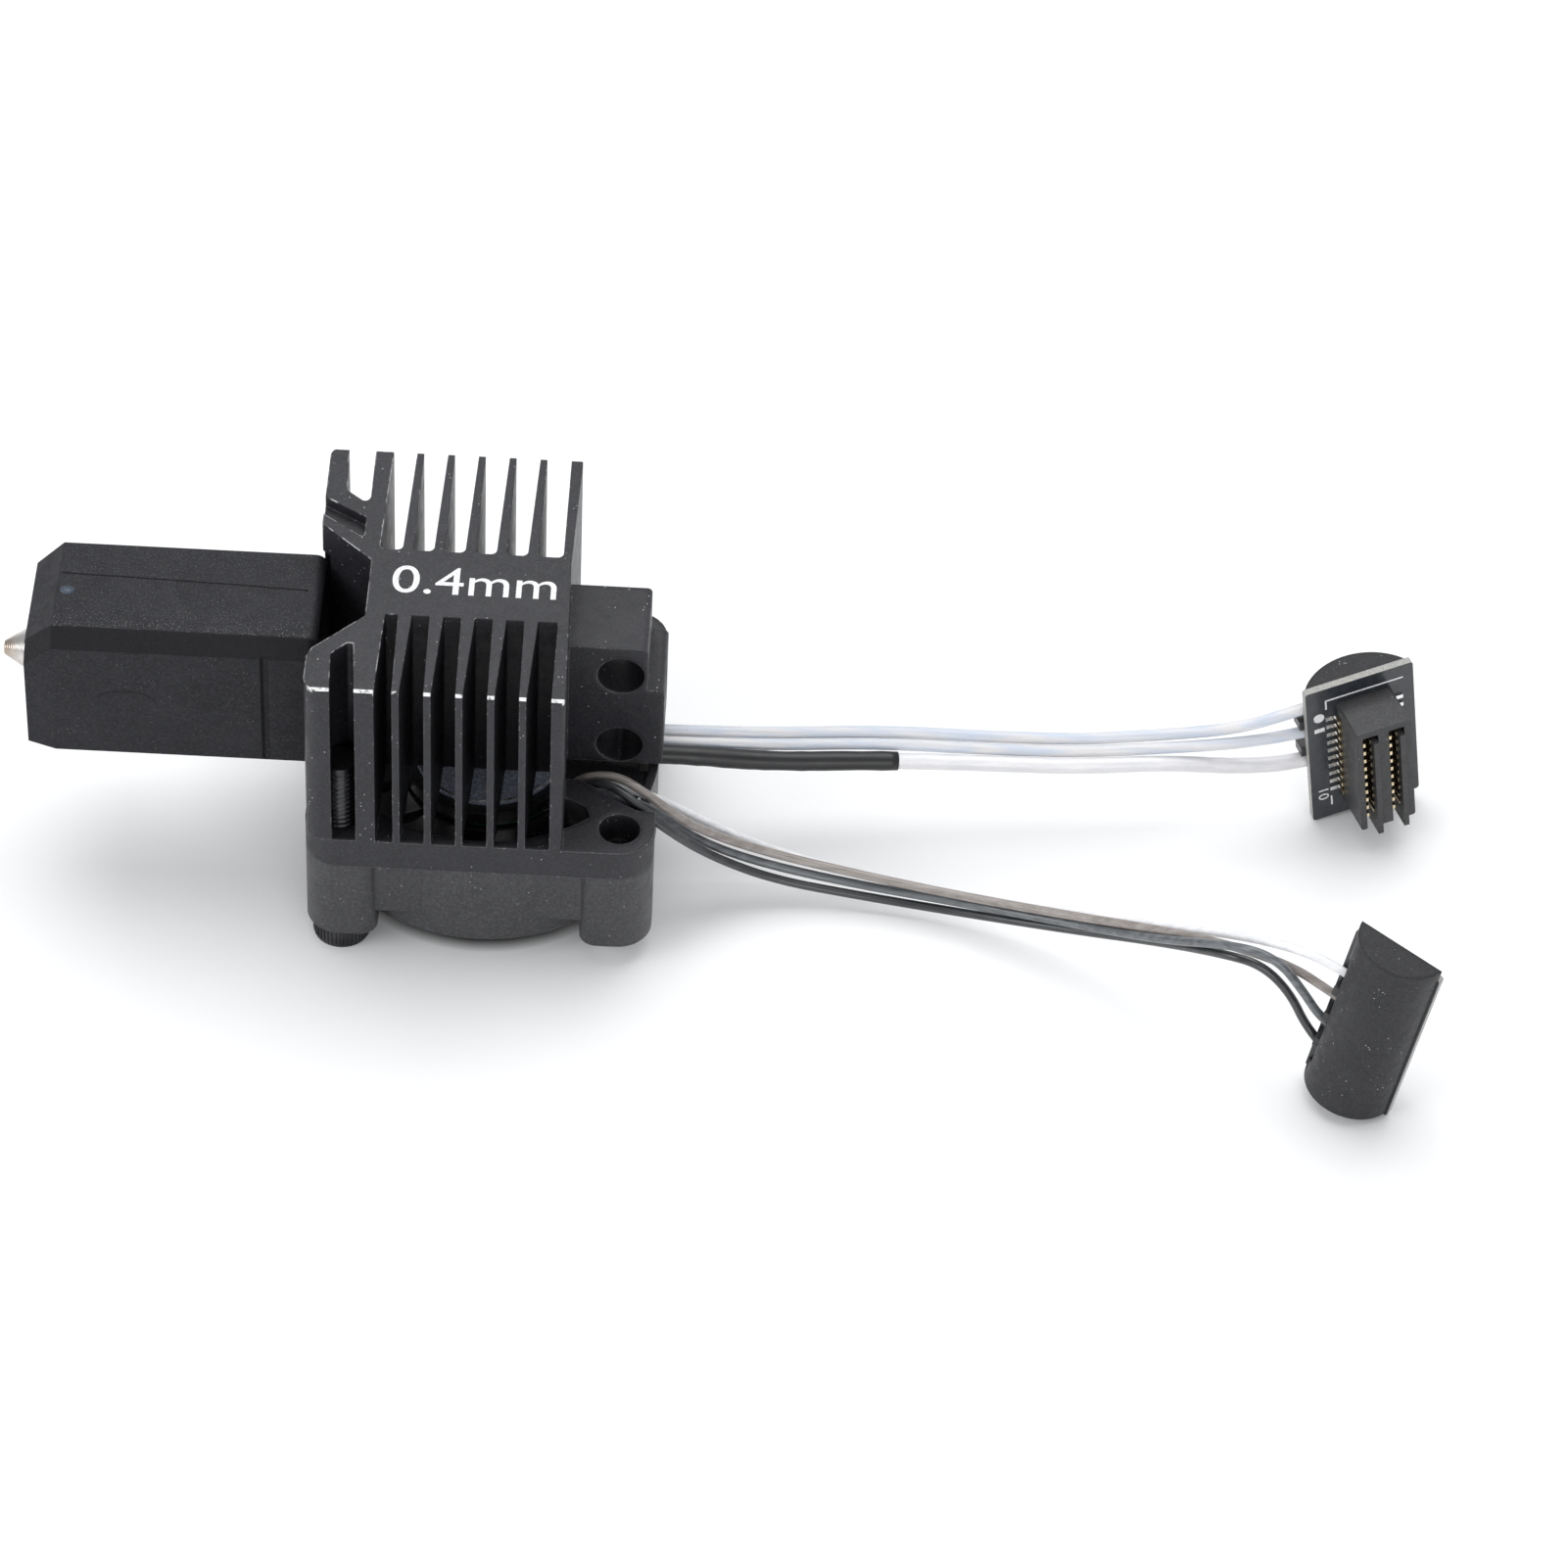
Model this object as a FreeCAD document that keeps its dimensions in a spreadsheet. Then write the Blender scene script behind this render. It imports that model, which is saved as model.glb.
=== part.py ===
import FreeCAD, Part
import math
import os

import Sketcher

# Hotend assembly: finned heatsink on a 25 mm fan, heater block in a silicone sock, two plugged cables.
# Millimetres. +X runs from the nozzle towards the filament inlet, +Y across, +Z up from the surface
# that the fan screws' heads stand on. The origin is at the bottom centre of the hotend, cables left out.

V = FreeCAD.Vector
doc = FreeCAD.newDocument("Hotend")
sheet = doc.addObject("Spreadsheet::Sheet", "Sizes")

DIMENSIONS = [
    # fan and heatsink plate
    ("fan_x", 11.1), ("fan_side", 25.0), ("fan_thickness", 7.0), ("fan_corner", 2.5),
    ("fan_rim_radius", 12.42), ("fan_duct_radius", 11.75), ("post_side", 5.2),
    ("wall_reach", 11.75), ("wall_low", 3.8), ("hole_offset", 10.0), ("hole_radius", 1.5),
    ("plate_thickness", 2.65), ("plate_opening_radius", 11.9),
    ("comb_height", 15.0), ("axis_height", 17.0),
    # fins
    ("fin_pitch", 2.23), ("thin_fin_first", -5.82), ("fin_tip_half", 0.25),
    ("fin_root_thin", 0.38), ("fin_root_thick", 0.6), ("far_root_left", 0.55), ("far_root_right", 0.18),
    ("tip_chamfer", 0.15), ("bend_radius", 0.35), ("near_root", -4.6), ("far_root", 2.05),
    ("slot_corner", 0.45),
    # neck with its two cross holes
    ("neck_half_width", 3.2), ("neck_start", 5.6), ("neck_end", 12.75), ("neck_step", 11.5),
    ("neck_step_height", 19.0), ("neck_top", 23.0),
    ("neck_hole_x", 9.6), ("neck_hole_radius", 1.7), ("neck_hole_low", 13.4), ("neck_hole_pitch", 6.9),
    ("filament_radius", 1.0), ("inlet_radius", 1.35), ("inlet_depth", 0.5),
    # heat break and hot block
    ("break_radius", 1.48), ("break_bore_radius", 1.5), ("break_end", 14.0),
    ("block_front", -19.6), ("block_length", 16.4), ("block_half_width", 4.1),
    ("block_bottom", 13.9), ("block_height", 7.8),
    ("heater_thickness", 1.2), ("heater_length", 13.0), ("heater_half_width", 3.4),
    ("clip_thickness", 0.35), ("clip_front", -15.9), ("clip_width", 9.0),
    ("thread_radius", 2.2),
    # silicone sock
    ("sock_front", -21.75), ("sock_rear", -0.9), ("sock_half_width", 5.5), ("sock_bottom", 11.2),
    ("sock_nose", 2.0),
    ("sock_height", 12.4), ("sock_wall", 0.85), ("sock_edge", 1.2), ("sock_nozzle_radius", 1.85),
    # fan motor
    ("hub_radius", 6.3), ("strut_thickness", 1.0), ("disc_radius", 5.4), ("disc_thickness", 0.3),
    ("board_thickness", 0.5), ("tube_radius", 1.7), ("bearing_radius", 1.5), ("shaft_radius", 0.75),
    ("rotor_bottom", 2.3), ("rotor_height", 4.7), ("rotor_wall", 0.7), ("yoke_radius", 5.6),
    ("magnet_radius", 5.35), ("magnet_inner", 4.75), ("blade_tip", 11.2), ("blade_count", 7),
    ("stator_radius", 4.4), ("stator_low", 4.4), ("stator_thickness", 1.6), ("coil_count", 4),
    # fan screws
    ("head_radius", 2.02), ("head_height", 2.0), ("screw_radius", 1.25), ("screw_length", 15.4),
    ("hex_half", 1.0),
    # wires
    ("thermistor_wire_radius", 0.45), ("heater_cable_radius", 0.6), ("sleeve_radius", 0.77),
    ("sleeve_start", 20.5), ("sleeve_end", 41.25), ("fan_wire_radius", 0.33),
    # heater plug
    ("hp_width", 8.5), ("hp_height", 13.1), ("hp_board", 0.6), ("hp_cap_depth", 2.35),
    ("hp_socket_left", 2.35), ("hp_socket_width", 4.3), ("hp_socket_low", 1.6),
    ("hp_socket_height", 9.8), ("hp_socket_depth", 3.9), ("contact_pitch", 0.8), ("contact_count", 10),
    ("hp_yaw", 20.65), ("hp_lean", -8.1), ("hp_x", 72.1), ("hp_y", 6.3), ("hp_z", 0.05),
    # fan plug
    ("fp_width", 7.0), ("fp_height", 15.7), ("fp_board", 0.6), ("fp_cap_depth", 2.9),
    ("fp_header_width", 4.0), ("fp_header_height", 9.0), ("fp_header_depth", 2.4),
    ("fp_yaw", -32.9), ("fp_lean", 9.2), ("fp_x", 71.0), ("fp_y", -19.7), ("fp_z", 1.05),
    ("wire_gap", 1.2),
]
for row, (alias, number) in enumerate(DIMENSIONS, start=1):
    sheet.set(f"A{row}", alias)
    sheet.set(f"B{row}", str(number))
    sheet.setAlias(f"B{row}", alias)
doc.recompute()

D = {alias: float(sheet.get(alias)) for alias, _ in DIMENSIONS}
FAN_X = D["fan_x"]
PLATE_BOTTOM = "Sizes.head_height + Sizes.fan_thickness"
PLATE_TOP = PLATE_BOTTOM + " + Sizes.plate_thickness"
plate_bottom = D["head_height"] + D["fan_thickness"]
plate_top = plate_bottom + D["plate_thickness"]
label_height = plate_top + D["comb_height"]

NODES = {}


def node(label, item):
    """Names an object as one sub-part of the assembly."""
    item.Label = label
    NODES[label] = item
    return item


def bind(item, **expressions):
    """Binds properties to sheet expressions; a double underscore stands for a dot."""
    for name, expression in expressions.items():
        item.setExpression(name.replace("__", "."), expression)
    return item


# ---------------------------------------------------------------- Part primitives

def box(name, low, size):
    """A box from its low corner and its size, both as three expressions."""
    item = doc.addObject("Part::Box", name)
    return bind(item, Placement__Base__x=low[0], Placement__Base__y=low[1], Placement__Base__z=low[2],
                Length=size[0], Width=size[1], Height=size[2])


def cylinder(name, radius, height, base):
    """An upright cylinder; base is three expressions."""
    item = doc.addObject("Part::Cylinder", name)
    return bind(item, Radius=radius, Height=height, Placement__Base__x=base[0],
                Placement__Base__y=base[1], Placement__Base__z=base[2])


def lying_cylinder(name, radius, length, base):
    """A cylinder along +X."""
    item = cylinder(name, radius, length, base)
    item.Placement.Rotation = FreeCAD.Rotation(V(0, 1, 0), 90)
    return item


def cut(name, base, tool):
    item = doc.addObject("Part::Cut", name)
    item.Base = base
    item.Tool = tool
    return item


def fuse(name, shapes):
    item = doc.addObject("Part::MultiFuse", name)
    item.Shapes = shapes
    item.Refine = True
    return item


def ring(label, outer, inner, height, base):
    """A flat ring as a sub-part: a cylinder with a round hole."""
    solid = cylinder(label + "_outer", outer, height, base)
    hole = cylinder(label + "_hole", inner, height, base)
    return node(label, cut(label, solid, hole))


# ---------------------------------------------------------------- PartDesign helpers

def new_body(label):
    return node(label, doc.addObject("PartDesign::Body", label))


def plane(body, role):
    return next(item for item in body.Origin.OriginFeatures if item.Role == role)


def new_sketch(body, name, role="XY_Plane", up=None, along=None):
    """A sketch on an origin plane; up lifts it along its normal, along shifts it in its own y."""
    sketch = body.newObject("Sketcher::SketchObject", name)
    sketch.AttachmentSupport = (plane(body, role), [""])
    sketch.MapMode = "FlatFace"
    if up:
        sketch.setExpression("AttachmentOffset.Base.z", up)
    if along:
        sketch.setExpression("AttachmentOffset.Base.y", along)
    return sketch


def add_circle(sketch, x, y, radius):
    """A circle whose radius is a sheet expression."""
    index = sketch.addGeometry(Part.Circle(V(x, y, 0), V(0, 0, 1), 1.0), False)
    constraint = sketch.addConstraint(Sketcher.Constraint("Radius", index, 1.0))
    sketch.addConstraint(Sketcher.Constraint("DistanceX", -1, 1, index, 3, x))
    sketch.addConstraint(Sketcher.Constraint("DistanceY", -1, 1, index, 3, y))
    sketch.setExpression(f"Constraints[{constraint}]", radius)


def add_outline(sketch, corners):
    """A closed outline of straight sides; a corner (x, y, r) is rounded with radius r."""
    count = len(corners)
    ends = []
    for index, corner in enumerate(corners):
        point = V(corner[0], corner[1], 0)
        radius = corner[2] if len(corner) > 2 else 0
        before = V(corners[index - 1][0], corners[index - 1][1], 0) - point
        after = V(corners[(index + 1) % count][0], corners[(index + 1) % count][1], 0) - point
        if radius == 0:
            ends.append((point, None, point))
            continue
        half = before.getAngle(after) / 2
        reach = radius / math.tan(half)
        first = point + before.normalize() * reach
        last = point + after.normalize() * reach
        middle_line = (before + after).normalize()
        middle = point + middle_line * (radius / math.sin(half) - radius)
        ends.append((first, middle, last))
    for index, (first, middle, last) in enumerate(ends):
        if middle is not None:
            sketch.addGeometry(Part.Arc(first, middle, last), False)
        following = ends[(index + 1) % count][0]
        if (following - last).Length > 1e-6:
            sketch.addGeometry(Part.LineSegment(last, following), False)


def rectangle(x0, x1, y0, y1, radius=0):
    return [(x0, y0, radius), (x1, y0, radius), (x1, y1, radius), (x0, y1, radius)]


def pad(body, sketch, length, name, reverse=False, both_ways=False):
    feature = body.newObject("PartDesign::Pad", name)
    feature.Profile = sketch
    feature.Reversed = reverse
    feature.SideType = "Symmetric" if both_ways else "One side"
    feature.setExpression("Length", length)
    return feature


def pocket(body, sketch, length, name, upward=False, both_ways=False):
    """A pocket; upward cuts along the sketch's normal instead of against it."""
    doc.recompute()
    volume = body.Shape.Volume
    feature = body.newObject("PartDesign::Pocket", name)
    feature.Profile = sketch
    feature.Reversed = upward
    feature.SideType = "Symmetric" if both_ways else "One side"
    feature.setExpression("Length", length)
    doc.recompute()
    if body.Shape.Volume > volume - 1e-4:
        raise RuntimeError(name + " cuts nothing")
    return feature


def revolve(body, sketch, name):
    """A full turn about the sketch's own horizontal axis."""
    feature = body.newObject("PartDesign::Revolution", name)
    feature.Profile = sketch
    feature.ReferenceAxis = (sketch, ["H_Axis"])
    feature.Angle = 360
    return feature


# ---------------------------------------------------------------- heatsink

def thin_fin(index, side):
    """A thin fin's left and right faces at its tip and at its root, across the nozzle axis."""
    centre = FAN_X + D["thin_fin_first"] + D["fin_pitch"] * index
    half = D["fin_tip_half"]
    if side > 0:
        root = (centre - D["far_root_left"], centre + D["far_root_right"])
    else:
        root = (centre - D["fin_root_thin"], centre + D["fin_root_thick"])
    return {"tip": (centre - half, centre + half), "root": root}


def slot(side, left_fin, right_fin):
    """The outline of one slot between two fins, open at the side it is cut from."""
    edge = side * D["fan_side"] / 2
    outside = edge + side
    root = D["far_root"] if side > 0 else D["near_root"]
    corner = D["slot_corner"] if side > 0 else 0.1
    left_tip = left_fin["tip"][1]
    right_tip = right_fin["tip"][0]
    cut_back = D["tip_chamfer"] if side > 0 else 0
    inward = edge - side * 1.5 * cut_back
    outline = [(left_tip - cut_back, outside), (left_tip - cut_back, edge)]
    if cut_back:
        outline.append((left_tip, inward))
    outline += [(left_fin["root"][1], root, corner), (right_fin["root"][0], root, corner)]
    if cut_back:
        outline.append((right_tip, inward))
    outline += [(right_tip + cut_back, edge), (right_tip + cut_back, outside)]
    return outline if side < 0 else outline[::-1]


def make_heatsink():
    half = D["fan_side"] / 2
    left = FAN_X - 12.3
    body = new_body("heatsink")

    # square plate on the fan, with its round opening
    plate = new_sketch(body, "plate_outline", up=PLATE_BOTTOM)
    add_outline(plate, rectangle(FAN_X - half, FAN_X + half, -half, half, D["fan_corner"]))
    pad(body, plate, "Sizes.plate_thickness", "plate")
    opening = new_sketch(body, "plate_opening", up=PLATE_TOP)
    add_circle(opening, FAN_X, 0, "Sizes.plate_opening_radius")
    pocket(body, opening, "Sizes.plate_thickness", "opening")

    # web beside the neck, on the near side of the cables' notch
    web = new_sketch(body, "plate_web", up=PLATE_BOTTOM)
    add_outline(web, [
        (FAN_X + 4.9, -7.1), (FAN_X + 6.2, -7.2), (FAN_X + 7.5, -7.9, 0.3), (FAN_X + 8.0, -9.4),
        (FAN_X + 10.2, -8.4), (FAN_X + 9.5, -7.1), (FAN_X + 8.1, -5.95, 0.5), (FAN_X + 6.9, -5.25, 0.5),
        (FAN_X + 4.9, -5.2)])
    pad(body, web, "Sizes.plate_thickness", "web")

    # the comb's outline, with the recess that the hot block's rear end reaches into
    comb = new_sketch(body, "comb_outline", up=PLATE_TOP)
    add_outline(comb, [
        (left, -half, 1.2), (FAN_X + 6.05, -half, 0.3), (FAN_X + 5.7, 2.0), (FAN_X + 5.95, half, 0.4),
        (left, half, 0.9), (left, 4.4, 0.3), (FAN_X - 8.5, 0.9, 0.3),
        (FAN_X - 8.5, -4.9, 0.3), (FAN_X - 11.95, -8.35, 0.3), (left, -9.2, 0.3),
    ])
    pad(body, comb, "Sizes.comb_height", "comb")

    for side, name in ((-1, "near"), (1, "far")):
        thin = [thin_fin(index, side) for index in range(5)]
        first = {"tip": (0, FAN_X - 7.33), "root": (0, FAN_X - 7.11)}
        last = {"tip": (FAN_X + 5.1, 0), "root": (FAN_X + 5.1, 0)}
        if side > 0:
            first = {"tip": (0, FAN_X - 7.75), "root": (0, FAN_X - 8.0)}
        fins = [first] + thin + [last]
        slots = new_sketch(body, name + "_slots", up=PLATE_TOP + " + Sizes.comb_height")
        for left_fin, right_fin in zip(fins, fins[1:]):
            add_outline(slots, slot(side, left_fin, right_fin))
        pocket(body, slots, "Sizes.comb_height", name + "_fins")

    # the slots between the two thick end fins stop at a slanted web
    end_slots = new_sketch(body, "end_slots", up=PLATE_TOP + " + Sizes.comb_height")
    add_outline(end_slots, [
        (FAN_X - 10.42, -half - 1), (FAN_X - 8.7, -half - 1), (FAN_X - 8.7, -half),
        (FAN_X - 9.1, -7.7, 0.1), (FAN_X - 9.55, -7.7, 0.2), (FAN_X - 10.6, -8.85, 0.2),
        (FAN_X - 10.42, -half)])
    add_outline(end_slots, [
        (FAN_X - 9.06, half + 1), (FAN_X - 11.0, half + 1), (FAN_X - 11.0, half),
        (FAN_X - 10.81, 8.0, 0.4), (FAN_X - 9.3, 6.75, 0.35), (FAN_X - 9.05, 7.4, 0.3),
        (FAN_X - 9.06, half)])
    pocket(body, end_slots, "Sizes.comb_height", "end_fins")

    # shallow recess in the far web
    recess = new_sketch(body, "web_recess", up=PLATE_TOP + " + Sizes.comb_height")
    add_outline(recess, [
        (left - 1, 7.4), (left - 1, 5.6), (left, 5.4), (FAN_X - 9.2, 3.1, 0.2), (FAN_X - 9.2, 5.3, 0.3),
        (left, 7.2)])
    pocket(body, recess, "0.9 mm", "recess")

    # the fins' upper corners are rounded
    bend = new_sketch(body, "bend_outline", role="YZ_Plane", up="Sizes.fan_x - 13")
    top = plate_top + D["comb_height"]
    radius = D["bend_radius"]
    for side in (-1, 1):
        middle = (side * (half - radius), top - radius)
        along = (side * half, top - radius)
        over = (side * (half - radius), top)
        diagonal = radius * math.sqrt(0.5)
        arc_middle = V(middle[0] + side * diagonal, middle[1] + diagonal, 0)
        corners = [V(*along, 0), V(side * (half + 1), top - radius, 0), V(side * (half + 1), top + 1, 0),
                   V(side * (half - radius), top + 1, 0), V(*over, 0)]
        for start, end in zip(corners, corners[1:]):
            bend.addGeometry(Part.LineSegment(start, end), False)
        bend.addGeometry(Part.Arc(corners[-1], arc_middle, corners[0]), False)
    pocket(body, bend, "26", "bend_rounding", upward=True)

    # neck, with two holes across it
    neck = new_sketch(body, "neck_outline", role="XZ_Plane")
    add_outline(neck, [
        (FAN_X + D["neck_start"], plate_top), (FAN_X + D["neck_end"], plate_top, 0.3),
        (FAN_X + D["neck_end"], D["neck_step_height"], 0.5), (FAN_X + D["neck_step"], D["neck_step_height"]),
        (FAN_X + D["neck_step"], D["neck_top"], 0.4), (FAN_X + D["neck_start"], D["neck_top"])])
    pad(body, neck, "2 * Sizes.neck_half_width", "neck", both_ways=True)
    holes = new_sketch(body, "neck_holes", role="XZ_Plane")
    for index in range(2):
        add_circle(holes, FAN_X + D["neck_hole_x"], D["neck_hole_low"] + D["neck_hole_pitch"] * index,
                   "Sizes.neck_hole_radius")
    pocket(body, holes, "2 * Sizes.neck_half_width + 2", "cross_holes", both_ways=True)

    # filament path along the nozzle axis: inlet cone, filament bore and the heat break's seat
    path = new_sketch(body, "filament_path", role="XZ_Plane", along="Sizes.axis_height")
    end = FAN_X + D["neck_end"]
    add_outline(path, [
        (FAN_X - 13, 0), (end + 1, 0), (end + 1, D["inlet_radius"]), (end, D["inlet_radius"]),
        (end - D["inlet_depth"], D["filament_radius"]), (D["break_end"], D["filament_radius"]),
        (D["break_end"], D["break_bore_radius"]), (FAN_X - 13, D["break_bore_radius"])])
    bore = body.newObject("PartDesign::Groove", "filament_bore")
    bore.Profile = path
    bore.ReferenceAxis = (path, ["H_Axis"])
    bore.Angle = 360

    # corner holes of the plate: the two by the end fins hold the fan screws, the two by the neck stay open
    offset = D["hole_offset"]
    open_holes = new_sketch(body, "open_corner_holes", up=PLATE_TOP)
    screw_holes = new_sketch(body, "screw_corner_holes", up=PLATE_TOP)
    for side in (-1, 1):
        add_circle(open_holes, FAN_X + offset, side * offset, "Sizes.hole_radius")
        add_circle(screw_holes, FAN_X - offset, side * offset, "Sizes.screw_radius + 0.03")
    pocket(body, open_holes, "Sizes.plate_thickness", "open_holes")
    pocket(body, screw_holes, "Sizes.plate_thickness", "screw_holes")

    # the screws' tips stand in round clearances cut into the end fins
    tips = new_sketch(body, "screw_tip_clearance", up=PLATE_TOP)
    for side in (-1, 1):
        add_circle(tips, FAN_X - offset, side * offset, "Sizes.screw_radius + 0.03")
    pocket(body, tips, "Sizes.screw_length - Sizes.fan_thickness - Sizes.plate_thickness + 0.5",
           "tip_clearance", upward=True)

    # relief under the far web for the sock's rear corner
    relief = new_sketch(body, "sock_relief", up=PLATE_TOP)
    add_outline(relief, rectangle(left - 1, D["sock_rear"] + 0.3, 3.2, D["sock_half_width"] + 0.4))
    pocket(body, relief, "Sizes.sock_bottom + Sizes.sock_height + 0.4 - (" + PLATE_TOP + ")",
           "sock_corner_relief", upward=True)

    # notch in the plate's rim where the cables leave
    notch = new_sketch(body, "cable_notch", up=PLATE_TOP)
    add_outline(notch, [
        (FAN_X + 7.0, -4.5), (FAN_X + 8.1, -5.9, 0.4), (FAN_X + 9.5, -7.1, 0.6), (FAN_X + 11.2, -8.1, 0.5),
        (FAN_X + 13.5, -8.1),
        (FAN_X + 13.5, 4.1), (FAN_X + 9.5, 4.1, 0.8)])
    pocket(body, notch, "Sizes.plate_thickness", "notch")
    return body


# ---------------------------------------------------------------- nozzle, heat break and hot block

def turned_piece(label, profile):
    """A piece turned about the nozzle axis; the profile lists (x, radius)."""
    body = new_body(label)
    sketch = new_sketch(body, label + "_profile", role="XZ_Plane", along="Sizes.axis_height")
    add_outline(sketch, profile)
    revolve(body, sketch, label + "_turn")
    return body


def make_hot_side():
    front = D["block_front"]
    rear = front + D["block_length"]
    thread = D["thread_radius"]
    bore = D["filament_radius"]
    nozzle_tip = -23.85
    turned_piece("nozzle", [
        (nozzle_tip, 0.2), (nozzle_tip, 0.5), (-22.0, 1.65), (front - 1.5, 1.65),
        (front - 1.5, 2.5), (front, 2.5), (front, thread), (front + 5.5, thread), (front + 5.5, bore),
        (nozzle_tip + 1.6, bore), (nozzle_tip + 0.6, 0.2)])
    turned_piece("heat_break", [
        (front + 5.8, bore), (front + 5.8, thread), (rear + 0.3, thread), (rear + 0.3, 1.1),
        (rear + 1.6, 1.1), (rear + 1.9, D["break_radius"]), (D["break_end"] - 0.1, D["break_radius"]),
        (D["break_end"] - 0.1, bore)])

    # copper block with the threaded bore along it and a pocket for the thermistor
    block = box("block_solid", ("Sizes.block_front", "-Sizes.block_half_width", "Sizes.block_bottom"),
                ("Sizes.block_length", "2 * Sizes.block_half_width", "Sizes.block_height"))
    bore_tool = lying_cylinder("block_bore", "Sizes.thread_radius", "Sizes.block_length + 2",
                               ("Sizes.block_front - 1", "0", "Sizes.axis_height"))
    well = lying_cylinder("thermistor_well", "0.8", "6",
                          ("Sizes.block_front + Sizes.block_length - 5", "-3", "15.3"))
    node("heater_block", cut("heater_block", block, fuse("block_holes", [bore_tool, well])))
    bead = lying_cylinder("thermistor", "0.75", "4.9",
                          ("Sizes.block_front + Sizes.block_length - 4.9", "-3", "15.3"))
    node("thermistor", bead)
    plate = box("ceramic_heater", ("Sizes.block_front + 1.5", "-Sizes.heater_half_width",
                                   "Sizes.block_bottom - Sizes.heater_thickness"),
                ("Sizes.heater_length", "2 * Sizes.heater_half_width", "Sizes.heater_thickness"))
    node("ceramic_heater", plate)

    # spring band that presses the heater plate against the block
    clip = new_body("heater_clip")
    sketch = new_sketch(clip, "clip_profile", role="YZ_Plane", up="Sizes.clip_front")
    wall = D["clip_thickness"]
    low = D["block_bottom"] - D["heater_thickness"]
    high = D["block_bottom"] + D["block_height"]
    half = D["block_half_width"]
    add_outline(sketch, rectangle(-half - wall, half + wall, low - wall, high + wall, 0.5))
    add_outline(sketch, rectangle(-half, half, low, high))
    pad(clip, sketch, "Sizes.clip_width", "clip_band")


def bevelled(x0, x1, y0, y1, cut):
    """A rectangle with its four corners cut at 45 degrees."""
    return [(x0 + cut, y0), (x1 - cut, y0), (x1, y0 + cut), (x1, y1 - cut),
            (x1 - cut, y1), (x0 + cut, y1), (x0, y1 - cut), (x0, y0 + cut)]


def make_sock():
    half = D["sock_half_width"]
    low = D["sock_bottom"]
    high = low + D["sock_height"]
    wall = D["sock_wall"]
    body = new_body("silicone_sock")
    nose_end = "Sizes.sock_front + Sizes.sock_nose"
    outer = new_sketch(body, "sock_outline", role="YZ_Plane", up=nose_end)
    add_outline(outer, bevelled(-half, half, low, high, D["sock_edge"]))
    pad(body, outer, "Sizes.sock_rear - Sizes.sock_front - Sizes.sock_nose", "sock_solid")

    # the nose slopes down at its top, and the rear edge is softly rounded
    nose_top = high - D["sock_nose"] + 0.1
    tip = new_sketch(body, "nose_tip", role="YZ_Plane", up="Sizes.sock_front")
    add_outline(tip, bevelled(-half + 0.3, half - 0.3, low + 0.4, nose_top, D["sock_edge"]))
    base = new_sketch(body, "nose_base", role="YZ_Plane", up=nose_end)
    add_outline(base, bevelled(-half, half, low, high, D["sock_edge"]))
    nose = body.newObject("PartDesign::AdditiveLoft", "nose")
    nose.Profile = tip
    nose.Sections = [base]
    nose.Ruled = True
    doc.recompute()
    solid = body.Tip
    rear_edges = [f"Edge{index}" for index, edge in enumerate(solid.Shape.Edges, start=1)
                  if edge.BoundBox.XMin > D["sock_rear"] - 0.01]
    rounding = body.newObject("PartDesign::Fillet", "rear_rounding")
    rounding.Base = (solid, rear_edges)
    rounding.Radius = 0.7
    doc.recompute()

    # upright groove in each side, in front of the rear collar
    groove = new_sketch(body, "collar_groove", role="YZ_Plane", up="-4.8")
    for side in (-1, 1):
        inner = side * (half - 0.28)
        add_outline(groove, rectangle(min(inner, side * 7), max(inner, side * 7), low - 1, high - 1.15))
    pocket(body, groove, "0.5", "groove", upward=True)

    # cavity, open at the rear, with room for the nozzle's collar and a hole for its cone
    cavity = new_sketch(body, "cavity_outline", role="YZ_Plane", up="Sizes.sock_rear")
    wall_outline = rectangle(-half + wall, half - wall, low + wall, high - wall, 0.5)
    add_outline(cavity, wall_outline)
    pocket(body, cavity, "Sizes.sock_rear - Sizes.block_front + 0.05", "cavity")
    collar = new_sketch(body, "nozzle_collar", role="YZ_Plane", up="Sizes.block_front - 1.6")
    add_circle(collar, 0, D["axis_height"], "2.6")
    pocket(body, collar, "2", "collar_space", upward=True)
    hole = new_sketch(body, "nozzle_hole", role="YZ_Plane", up="Sizes.sock_front - 1")
    add_circle(hole, 0, D["axis_height"], "Sizes.sock_nozzle_radius")
    pocket(body, hole, "4", "nozzle_opening", upward=True)

    # the floor stops short of the fan's plate, which lets the leads out
    floor_gap = new_sketch(body, "floor_gap_outline", up="Sizes.sock_bottom - 1")
    add_outline(floor_gap, rectangle(D["sock_rear"] - 1.4, D["sock_rear"] + 1, -half - 1, half + 1))
    pocket(body, floor_gap, "1.95", "floor_gap", upward=True)
    return body


# ---------------------------------------------------------------- fan

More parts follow.
